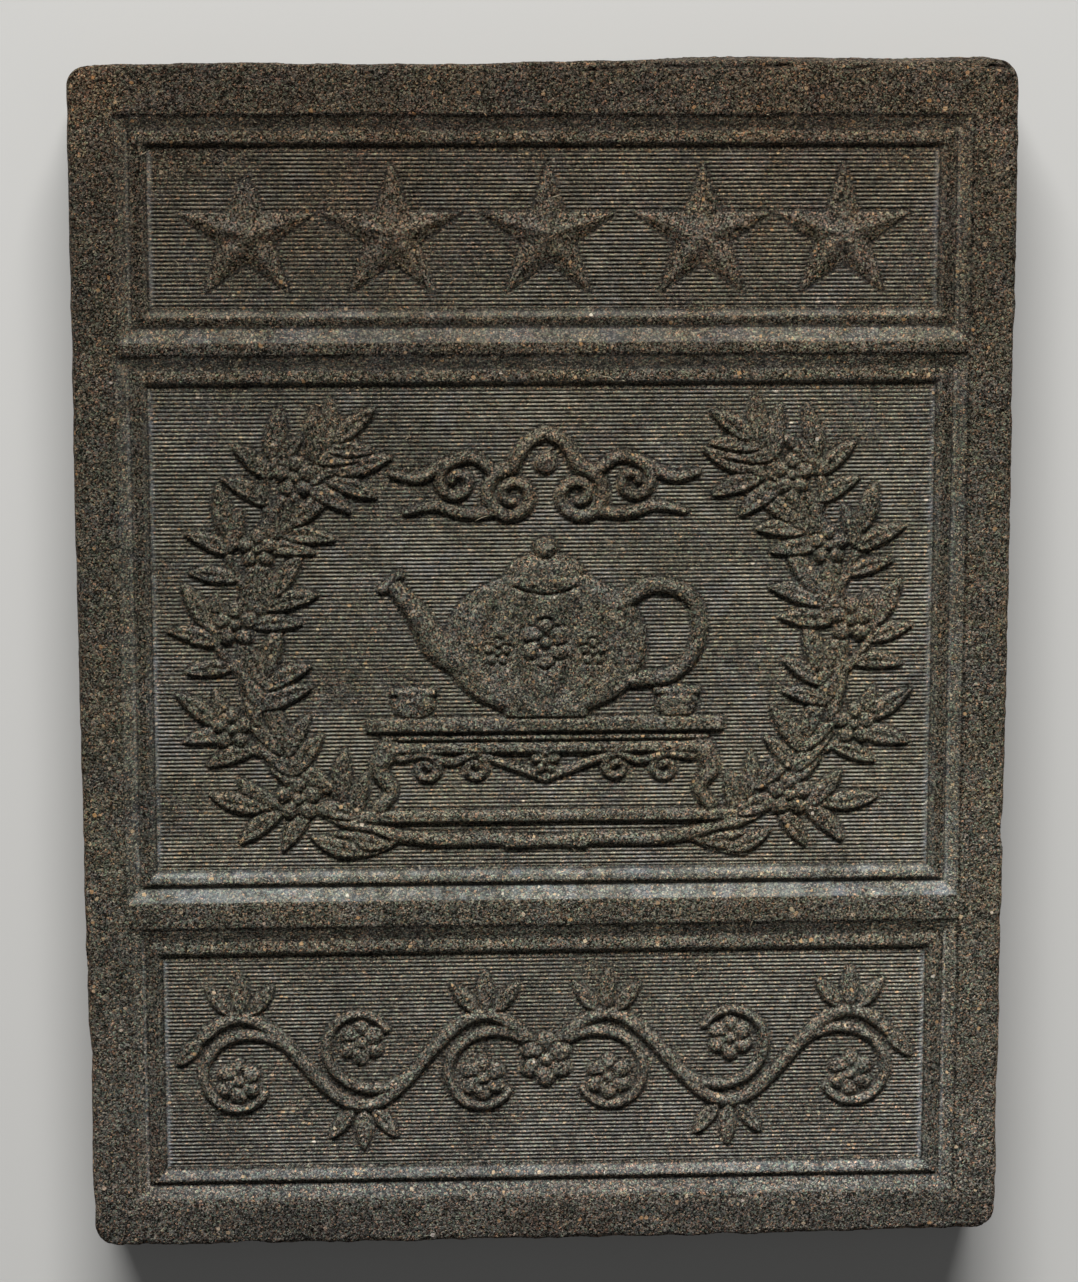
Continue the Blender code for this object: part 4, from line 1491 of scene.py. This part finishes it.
    def panel_places(self, chart: HeightMap, panel: Panel) -> tuple[tuple, Field, Field, Field]:
        """Finds where the cells of a panel lie on it.

        Args:
            chart: The map.
            panel: The panel.

        Returns:
            The slices of the panel, how far in each cell lies, how far it is on the lower side, and how far
            it is on the left or right side, the last two from 0 to 1.
        """
        cells, x, y = chart.window(-self.panel_half_width, panel.low, self.panel_half_width, panel.high)
        from_side = self.panel_half_width - np.abs(x)
        from_low, from_high = y - panel.low, panel.high - y
        inside = np.minimum(from_side, np.minimum(from_low, from_high))
        lower = ease(np.minimum(from_side, from_high) - from_low, -self.mitre, self.mitre)
        upright = ease(np.minimum(from_low, from_high) - from_side, -self.mitre, self.mitre)
        return cells, inside, lower, upright

    def column_lines(self) -> Field:
        """The X of the mesh's columns, closer together across the moulding and at the rim."""
        ground, border = self.panel_half_width - self.inset, self.half_width - self.rim_width
        right = np.concatenate([
            evenly(0, ground, self.column_step), evenly(ground, self.panel_half_width, self.fine_step),
            evenly(self.panel_half_width, border, 0.5), evenly(border, self.half_width, self.fine_step),
            [self.half_width],
        ])
        return np.concatenate([-right[:0:-1], right])

    def row_lines(self) -> tuple[Field, Field]:
        """Finds the Y of the mesh's rows: three to a rib, so that each rib has a groove and a crest.

        Returns:
            The Y of the rows, and the height of the ribs there as a share of the whole.
        """
        lines, crests = [], []

        def stretch(low: float, high: float, step: float) -> None:
            """Adds plain rows up to a height."""
            rows = evenly(low, high, step)
            lines.extend(rows)
            crests.extend(np.zeros(len(rows)))

        edge = -self.half_height
        stretch(edge, edge + self.rim_width, self.fine_step)
        edge += self.rim_width
        for panel in sorted(self.panels, key=lambda p: p.low):
            stretch(edge, panel.low, self.border_step)
            stretch(panel.low, panel.low + self.inset, self.fine_step)
            low, high = panel.low + self.inset, panel.high - self.inset
            count = 3 * round((high - low) / self.rib_pitch)
            lines.extend(low + (high - low) * k / count for k in range(count))
            crests.extend(self.rib_section[k % 3] for k in range(count))
            stretch(high, panel.high, self.fine_step)
            edge = panel.high
        stretch(edge, self.half_height - self.rim_width, self.border_step)
        stretch(self.half_height - self.rim_width, self.half_height, self.fine_step)
        lines.append(self.half_height)
        crests.append(0.0)
        return np.array(lines), np.array(crests)

    def outline_half_width(self, y: Field) -> Field:
        """How far the rounded outline reaches along X at these Y."""
        past = np.clip(np.abs(y) - (self.half_height - self.corner_radius), 0, self.corner_radius)
        return self.half_width - self.corner_radius + np.sqrt(self.corner_radius**2 - past**2)

    def crumbled(self, x: Field, y: Field) -> Field:
        """How far the rim is crumbled, from 0 to 1: most at a corner, below and along the upper left side."""
        upper = ease(y, 118.0, 120.5) * ease(x, -4.0, 14.0) * 0.35
        corner = ease(-np.hypot(x + 90.0, y - 118.0), -16.0, -5.0)
        lower = ease(-y, 118.0, 120.5) * 0.12
        left = ease(-x, 91.0, 92.6) * ease(-np.abs(y - 25.0), -24.0, -10.0) * 0.5
        return np.maximum.reduce([upper, corner * 0.5, lower, left])

    def chip(self, points: Field) -> Field:
        """Pushes points out of what has broken away.

        Args:
            points: X, Y and Z of each point.

        Returns:
            The moved points.
        """
        for x, y, z, radius in self.chips:
            wide = np.array((1.0, 1.6, 0.8) if abs(x) > self.half_width else (1.9, 1.0, 0.8)) * radius
            away = (points - (x, y, z)) / wide
            reach = np.linalg.norm(away, axis=1)
            inside = reach < 1
            points[inside] = (x, y, z) + away[inside] / reach[inside, None] * wide
        return points

    def outline(self, columns: Field, rows: Field) -> tuple[Field, Field, Field, Field]:
        """Stretches the mesh's lines near the rim to an outline that wanders and is worn.

        Args:
            columns: The X of the mesh's columns.
            rows: The Y of its rows.

        Returns:
            The X and Y of the points, and how far the outline reaches along X and along Y.
        """
        core_x, core_y = self.panel_half_width + 2, self.half_height - 7
        missing = np.interp(rows, *zip(*self.left_wear))[:, None] * (columns < 0)
        straight = self.outline_half_width(rows)[:, None]
        wide = straight - np.abs(self.wander(rows, self.side_seed))[:, None] - missing
        x = np.abs(columns)
        outer = core_x + (x - core_x) * (wide - core_x) / (self.half_width - core_x)
        x = np.sign(columns) * np.where(x > core_x, outer, x)
        tall = self.half_height - np.abs(self.wander(columns, self.end_seed))
        upper, lower = (np.interp(columns, *zip(*wear)) for wear in (self.upper_wear, self.lower_wear))
        tall = tall - np.where(rows[:, None] > 0, upper, lower)
        y = np.abs(np.broadcast_to(rows[:, None], x.shape))
        outer = core_y + (y - core_y) * (tall - core_y) / (self.half_height - core_y)
        return x, np.sign(rows)[:, None] * np.where(y > core_y, outer, y), wide, tall

    def cracked_strip(
        self, x: Field, y: Field, within: Field, lines: tuple[Field, Field]
    ) -> tuple[Field, Field]:
        """Finds the cracked strip along the right of the upper edge.

        Args:
            x: The X of the points.
            y: Their Y.
            within: How far they lie inside the edge.
            lines: The X of the mesh's columns and the Y of its highest rows.

        Returns:
            How far the points lie in the strip, and how far in its crack, from 0 to 1.
        """
        strip = ease(y, 118.0, 119.4) * ease(x, -2.0, 16.0)
        course = self.crack_course.over(*lines)[1] * 0.34 + 1.45
        gaps = ease(self.crack_gaps.over(*lines)[1], -1.1, -0.1)
        return strip, strip * gaps * ridge(within, course, 0.34)

    def face_points(self, face: Face) -> tuple[Field, dict[Mask, Field], tuple[int, int]]:
        """Places the points of the face's grid.

        Args:
            face: What draw_face gave.

        Returns:
            The points, their masks, and the number of rows and columns.
        """
        columns, (rows, crests) = self.column_lines(), self.row_lines()
        x, y, wide, tall = self.outline(columns, rows)
        fields = (face.z, face.ribs, face.pressed, face.hollow, face.coarse, face.carved)
        z, ribs, polished, hollow, coarse, carved = (face.chart.read(values, x, y) for values in fields)
        plain = coarse * (1 + 0.7 * ease(-y, 111.5, 114.0))
        small = self.small_crumbs.over(columns, rows)
        crests = crests[:, None]
        z = z + self.rib_height * (crests - 0.35) * ribs
        # painted shade in the ribs' grooves, with some dark dust
        hollow = np.maximum(hollow, 1.2 * ribs * (1 - crests))
        # painted highlight on the ribs' crests, set by Y
        worn = np.interp(rows, *zip(*self.crest_polish_and_sheen))[:, None]
        pressed = np.maximum(polished, worn * crests * ribs * np.clip(0.97 + 0.09 * small, 0.3, 1.1))
        # crumbs, pits and long worn patches
        grain = np.random.default_rng(5).standard_normal(z.shape)
        z = z + grain * (0.034 + 0.034 * plain + 0.012 * ribs)
        z = z + (0.018 + 0.022 * plain) * self.crumbs.over(columns, rows)
        z = z + 0.035 * plain * self.streaks.over(columns, rows) + (0.010 + 0.010 * plain) * small
        z = z - np.clip(self.pits.over(columns, rows) - 1.5, 0, 1.6) * (0.07 + 0.14 * plain)
        # the rounded rim
        within = tall - np.abs(y)
        inside = np.minimum(np.minimum(wide - np.abs(x), within), self.corner_inset(x, y))
        crumbled, ragged = self.crumbled(x, y), self.ragged.over(columns, rows)
        radius = self.rim_round * (1 + 0.25 * ragged) + crumbled * (1.5 + 0.8 * ragged)
        radius = np.clip(radius, 0.6, 4.2)
        past = np.clip(radius - inside, 0, radius)
        drop = radius - np.sqrt(np.clip(radius**2 - past**2, 0, None))
        rim = ease(past / radius, 0.0, 0.8)
        z = z - drop * np.clip(self.rim_round * 1.4 / radius, 0.3, 1) - 0.10 * rim * np.abs(ragged)
        strip, crack = self.cracked_strip(x, y, within, (columns, rows[-3:]))
        z = z - crack * (0.9 + 0.3 * ragged) - 0.35 * strip * (1 - ease(within, 0.9, 1.5))
        middle, reach = self.shift_reach
        aside = np.interp(x, *zip(*self.left_shift)) * ease(-np.abs(y - middle), -reach, 5 - reach)
        points = np.stack([x + aside, y + self.slant(x, y), np.minimum(z, self.thickness - 0.05)], -1)
        browner = np.interp(rows, (-56.0, -46.0), (0.2, 0.27))[:, None] * ribs
        corner = 2.0 * crumbled * (x < -70) * (y > 100)
        rim = np.maximum.reduce([rim * 0.7, ease(-inside, -9.0, 0.0) * 0.12, browner, corner])
        masks = {
            Mask.PRESSED_AND_SHEEN: pressed,
            Mask.RIM: np.clip(rim, 0, 1),
            # painted shade in the cracks
            Mask.SHADE_AND_DUST: np.clip(np.maximum(hollow, np.clip(crack, 0, 1)), 0, 1.2),
            Mask.CARVED: carved,
            Mask.POLISHED: polished,
        }
        return points.reshape(-1, 3), {mask: values.ravel() for mask, values in masks.items()}, x.shape

    def slant(self, x: Field, y: Field) -> Field:
        """How far the face's lines lie above or below where a true mould would put them."""
        levels, left, right = zip(*self.slants)
        share = np.clip(0.5 + x / (2 * self.half_width), 0, 1)
        return np.interp(y, levels, left) * (1 - share) + np.interp(y, levels, right) * share

    def corner_inset(self, x: Field, y: Field) -> Field:
        """How far points lie inside the rounded corners, and a large number away from them."""
        past_x = np.abs(x) - (self.half_width - self.corner_radius)
        past_y = np.abs(y) - (self.half_height - self.corner_radius)
        return np.where((past_x > 0) & (past_y > 0), self.corner_radius - np.hypot(past_x, past_y), 99.0)

    def wander(self, along: Field, seed: int) -> Field:
        """How far a side wanders in and out along its length."""
        chance = np.random.default_rng(seed)
        total = np.zeros(len(along))
        for size, depth in ((16.0, 0.14), (5.5, 0.12), (1.9, 0.07)):
            table = line_weights(along, size)
            total += depth * (table @ chance.standard_normal(table.shape[1]))
        return total

    def walls(self, ring: Field) -> list[Field]:
        """Places the points of the walls, one closed ring under another.

        Args:
            ring: The points of the face's edge, in order.

        Returns:
            The rings: close ones with as many points as the edge, and then rings with half as many.
        """
        chance = np.random.default_rng(9)
        inward = self.inward(ring)
        top = ring[:, 2]
        rings = []
        for k in range(1, self.close_rings + 1):
            level = ring.copy()
            level[:, 2] = top - self.close_step * k
            rough = 0.06 * chance.standard_normal(len(ring)) + 0.05
            level[:, :2] += inward * np.clip(rough, 0, None)[:, None]
            rings.append(level)
        sparse, inward, top = ring[::2], inward[::2], rings[-1][::2, 2]
        count = round((top.mean() - self.rim_round) / self.wall_step)
        along = np.arange(len(sparse))
        for k in range(1, count + 1):
            level = sparse.copy()
            level[:, 2] = top + (self.rim_round - top) * k / count
            rough = 0.12 * self.rolling(along, 9.0, 40 + k // 2) + 0.09 * chance.standard_normal(len(sparse))
            lean = self.lean(sparse) * k / count
            level[:, :2] += inward * (np.clip(self.wall_inset + rough, 0.0, 0.8) + lean)[:, None]
            rings.append(level)
        for turn in (30, 60, 90):
            level = sparse.copy()
            angle = math.radians(turn)
            level[:, 2] = self.rim_round * (1 - math.sin(angle))
            shift = self.wall_inset + self.rim_round * (1 - math.cos(angle)) + self.lean(sparse)
            level[:, :2] += inward * shift[:, None]
            rings.append(level)
        return rings

    def lean(self, ring: Field) -> Field:
        """How far the wall's foot lies inside its top: most under the left of the upper edge."""
        upper = ease(ring[:, 1], 115.0, 120.0)
        return self.wall_lean + upper * (1.35 - 1.5 * ease(ring[:, 0], -2.0, 34.0))

    def rolling(self, along: Field, size: float, seed: int) -> Field:
        """A rolling line of numbers round the brick, with lumps of this many points."""
        chance = np.random.default_rng(seed)
        knots = int(len(along) / size) + 5
        return cubic_weights(along / size + 1.5, knots) @ chance.standard_normal(knots)

    def inward(self, ring: Field) -> Field:
        """The directions from a ring of points towards the brick's inside, at right angles to its outline."""
        core = np.array((self.half_width - self.corner_radius, self.half_height - self.corner_radius)) - 1.0
        nearest = np.clip(ring[:, :2], -core, core)
        away = nearest - ring[:, :2]
        return away / np.linalg.norm(away, axis=1)[:, None]

    def build(self) -> bpy.types.Object:
        """Builds the brick's mesh, dresses it and ties it to the frame.

        Returns:
            The brick's object.
        """
        points, masks, (rows, columns) = self.face_points(self.draw_face())
        index = np.arange(rows * columns).reshape(rows, columns)
        edge = np.concatenate([index[0, :-1], index[:-1, -1], index[-1, :0:-1], index[:0:-1, 0]])
        if len(edge) % 2:
            raise ValueError("the face's edge needs an even number of points")
        rings = self.walls(points[edge])
        groups = self.stitch(index, edge, rings)
        corners = np.concatenate([group.ravel() for group in groups])
        sizes = np.concatenate([np.full(len(group), group.shape[1]) for group in groups])
        everything = self.chip(np.concatenate([points, *rings]))
        everything[:, 2] = np.clip(everything[:, 2], 0.0, self.thickness - 0.02)
        mesh = self.mesh_from(everything, corners, sizes)
        for mask, values in masks.items():
            walls = np.full(len(everything) - len(points), 0.65 if mask is Mask.RIM else 0.0)
            attribute = mesh.attributes.new(mask.value, "FLOAT", "POINT")
            attribute.data.foreach_set("value", np.concatenate([values, walls]).astype(np.float32))
        mesh.materials.append(PressedTeaFinish(Part.FACE, 0.27, 0.035).material())
        mesh.materials.append(PressedTeaFinish(Part.WALL, 0.46, 0.05).material())
        numbers = np.arange(len(sizes))
        mesh.polygons.foreach_set("material_index", (numbers >= len(groups[0])).astype(np.int32))
        mesh.polygons.foreach_set("use_smooth", numbers < len(sizes) - 1)
        brick = put_in_scene("tea_brick_body", mesh)
        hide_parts(NODE)
        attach(brick, "root")
        self.surface = points.reshape(rows, columns, 3)
        return brick

    def stitch(self, index: Field, edge: Field, rings: list[Field]) -> list[Field]:
        """Joins the points into faces.

        Args:
            index: The numbers of the face's points, by row and column.
            edge: The numbers of those along its edge.
            rings: The rings of the walls.

        Returns:
            Groups of faces of one kind: the face first, then the walls, and the back last.
        """
        squares = np.stack([index[:-1, :-1], index[:-1, 1:], index[1:, 1:], index[1:, :-1]], -1)
        groups = [squares.reshape(-1, 4)]
        start, upper, loose = index.size, edge, []
        for ring in rings:
            lower = np.arange(start, start + len(ring))
            start += len(ring)
            after = np.roll(lower, -1)
            if len(lower) == len(upper):
                groups.append(np.stack([upper, lower, after, np.roll(upper, -1)], -1))
            else:
                loose.append(np.stack([upper[::2], lower, after, np.roll(upper, -2)[::2], upper[1::2]], -1))
            upper = lower
        return [*groups, *loose, upper[None, ::-1]]

    def mesh_from(self, points: Field, corners: Field, sizes: Field) -> bpy.types.Mesh:
        """Makes a mesh from arrays.

        Args:
            points: X, Y and Z of each point, in millimetres.
            corners: The points round each face, one face after another.
            sizes: How many corners each face has.

        Returns:
            The mesh, in metres.
        """
        mesh = bpy.data.meshes.new("tea_brick_body")
        mesh.vertices.add(len(points))
        mesh.vertices.foreach_set("co", (points * MM).astype(np.float32).ravel())
        mesh.loops.add(len(corners))
        mesh.loops.foreach_set("vertex_index", corners.astype(np.int32))
        mesh.polygons.add(len(sizes))
        starts = np.concatenate([[0], np.cumsum(sizes)[:-1]])
        mesh.polygons.foreach_set("loop_start", starts.astype(np.int32))
        mesh.update(calc_edges=True)
        mesh.validate()
        return mesh


@dataclass(frozen=True)
class StemBits:
    """Pale fibres and crumbs of stem that lie in the face: curved slivers, joined in one mesh."""

    name: str
    finish: StemFinish
    count: int
    lengths: tuple[float, float]
    radii: tuple[float, float]
    seed: int
    joints: int = 5
    sides: int = 5
    # how many rows and columns of the face stay free at its rim, and how high a sliver may reach
    margin: int = 8
    highest: float = 22.99

    def build(self, brick: TeaBrick) -> bpy.types.Object:
        """Scatters the slivers over the face.

        Args:
            brick: The brick whose face carries them.

        Returns:
            The slivers' object.
        """
        chance = random.Random(self.seed)
        surface = brick.surface
        rows, columns = surface.shape[:2]
        points, faces = [], []
        for _ in range(self.count):
            j = chance.randrange(self.margin, rows - self.margin)
            i = chance.randrange(self.margin, columns - self.margin)
            place = surface[j, i]
            length, radius = chance.uniform(*self.lengths), chance.uniform(*self.radii)
            heading, curl = chance.uniform(0, 360), chance.uniform(-50, 50)
            self.add_sliver(points, faces, place, heading, length, curl, radius)
        mesh = bpy.data.meshes.new(self.name)
        mesh.from_pydata([tuple(c * MM for c in point) for point in points], [], faces)
        mesh.materials.append(self.finish.material())
        mesh.shade_smooth()
        bits = put_in_scene(self.name, mesh)
        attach(bits, "root")
        return bits

    def add_sliver(
        self, points: list, faces: list, place: Field, heading: float, length: float, curl: float,
        radius: float,
    ) -> None:
        """Adds one sliver, thinner at its ends and half sunk in the tea.

        Args:
            points: The mesh's points so far.
            faces: Its faces so far.
            place: The sliver's middle.
            heading: Its direction, in degrees.
            length: Its length.
            curl: How far it bends, in degrees.
            radius: Its radius at the middle.
        """
        first = len(points)
        for k in range(self.joints):
            t = k / (self.joints - 1) - 0.5
            dx, dy = polar(length * t, heading + curl * t)
            across_x, across_y = polar(1.0, heading + curl * t + 90)
            thin = radius * (1 - 1.9 * t * t)
            for side in range(self.sides):
                out, up = polar(thin, 360 * side / self.sides)
                points.append((
                    float(place[0]) + dx + out * across_x, float(place[1]) + dy + out * across_y,
                    min(float(place[2]) + 0.35 * radius + 0.7 * up, self.highest),
                ))
        for k in range(self.joints - 1):
            for side in range(self.sides):
                a, b = first + k * self.sides + side, first + k * self.sides + (side + 1) % self.sides
                faces.append((a, b, b + self.sides, a + self.sides))
        faces.append(tuple(first + side for side in reversed(range(self.sides))))
        faces.append(tuple(first + (self.joints - 1) * self.sides + side for side in range(self.sides)))


# Floor, lights and camera.


@dataclass(frozen=True)
class Studio:
    """A pale floor, soft lights and the camera."""

    floor_size: float = 6.0
    floor_colour: tuple = (0.42, 0.415, 0.40, 1.0)
    camera_place: tuple = (-0.0397428, 0.1653838, 0.8023653)
    camera_turn: tuple = (-0.2018, -0.0495, -0.0015)
    focal_pixels: float = 3972.2
    # a light's place, size and power
    key_light: tuple = (Vector((-0.12, 1.99, 1.34)), (1.6, 0.7), 132.0)
    overhead_light: tuple = (Vector((0.1, -0.1, 1.6)), (1.6, 1.6), 2.6)
    sky_colour: tuple = (0.95, 0.97, 1.0, 1.0)
    sky_strength: float = 0.06

    def floor(self) -> bpy.types.Object:
        """Lays the floor."""
        bpy.ops.mesh.primitive_plane_add(size=self.floor_size)
        floor = bpy.context.object
        floor.name = "floor"
        material, shader = new_material("pale_floor")
        shader.inputs["Base Color"].default_value = self.floor_colour
        shader.inputs["Roughness"].default_value = 0.75
        floor.data.materials.append(material)
        return floor

    def light(self, name: str, place: Vector, size: tuple[float, float], power: float) -> bpy.types.Object:
        """Hangs a soft light that faces the brick.

        Args:
            name: Its name.
            place: Where it hangs.
            size: Its width and height.
            power: Its power, in watts.

        Returns:
            The light.
        """
        data = bpy.data.lights.new(name, "AREA")
        data.shape = "RECTANGLE"
        data.size, data.size_y = size
        data.energy = power
        light = put_in_scene(name, data)
        light.location = place
        light.rotation_euler = (-place).to_track_quat("-Z", "Y").to_euler()
        return light

    def lights(self) -> None:
        """Hangs a wide light beyond the brick's upper edge, a weak one overhead and an even dim sky."""
        self.light("key_light", *self.key_light)
        self.light("overhead_light", *self.overhead_light)
        world = bpy.data.worlds.new("studio")
        world.use_nodes = True
        sky = world.node_tree.nodes["Background"]
        sky.inputs["Color"].default_value = self.sky_colour
        sky.inputs["Strength"].default_value = self.sky_strength
        bpy.context.scene.world = world

    def camera(self) -> bpy.types.Object:
        """Sets up the camera at the photograph's angle."""
        data = bpy.data.cameras.new("camera")
        data.sensor_width = 36.0
        data.lens = self.focal_pixels / max(IMAGE_SIZE) * data.sensor_width
        data.clip_start = 0.05
        camera = put_in_scene("camera", data)
        camera.location = self.camera_place
        camera.rotation_euler = Euler(self.camera_turn, "XYZ")
        bpy.context.scene.camera = camera
        bpy.context.scene.view_settings.view_transform = "Standard"
        return camera


def main() -> None:
    """Builds the studio and the brick."""
    logging.basicConfig(level=logging.INFO, format="%(message)s")
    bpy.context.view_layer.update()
    low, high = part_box(NODE)
    studio = Studio()
    studio.camera()
    studio.lights()
    studio.floor()
    brick = TeaBrick(high.x / MM, high.y / MM, (high.z - low.z) / MM)
    body = brick.build()
    log.info("%s: %d faces", body.name, len(body.data.polygons))
    straw = StemFinish("straw_stem", (0.24, 0.20, 0.13), (0.13, 0.10, 0.06))
    amber = StemFinish("amber_stem", (0.19, 0.115, 0.055), (0.10, 0.058, 0.028))
    for bits in (
        StemBits("straw_fibres", straw, 46, (1.6, 3.4), (0.07, 0.11), 3),
        StemBits("straw_crumbs", straw, 1500, (0.25, 0.85), (0.05, 0.12), 4, 3),
        StemBits("amber_crumbs", amber, 1500, (0.3, 0.95), (0.06, 0.15), 5, 3),
    ):
        made = bits.build(brick)
        log.info("%s: %d faces", made.name, len(made.data.polygons))


if __name__ == "__main__":
    main()
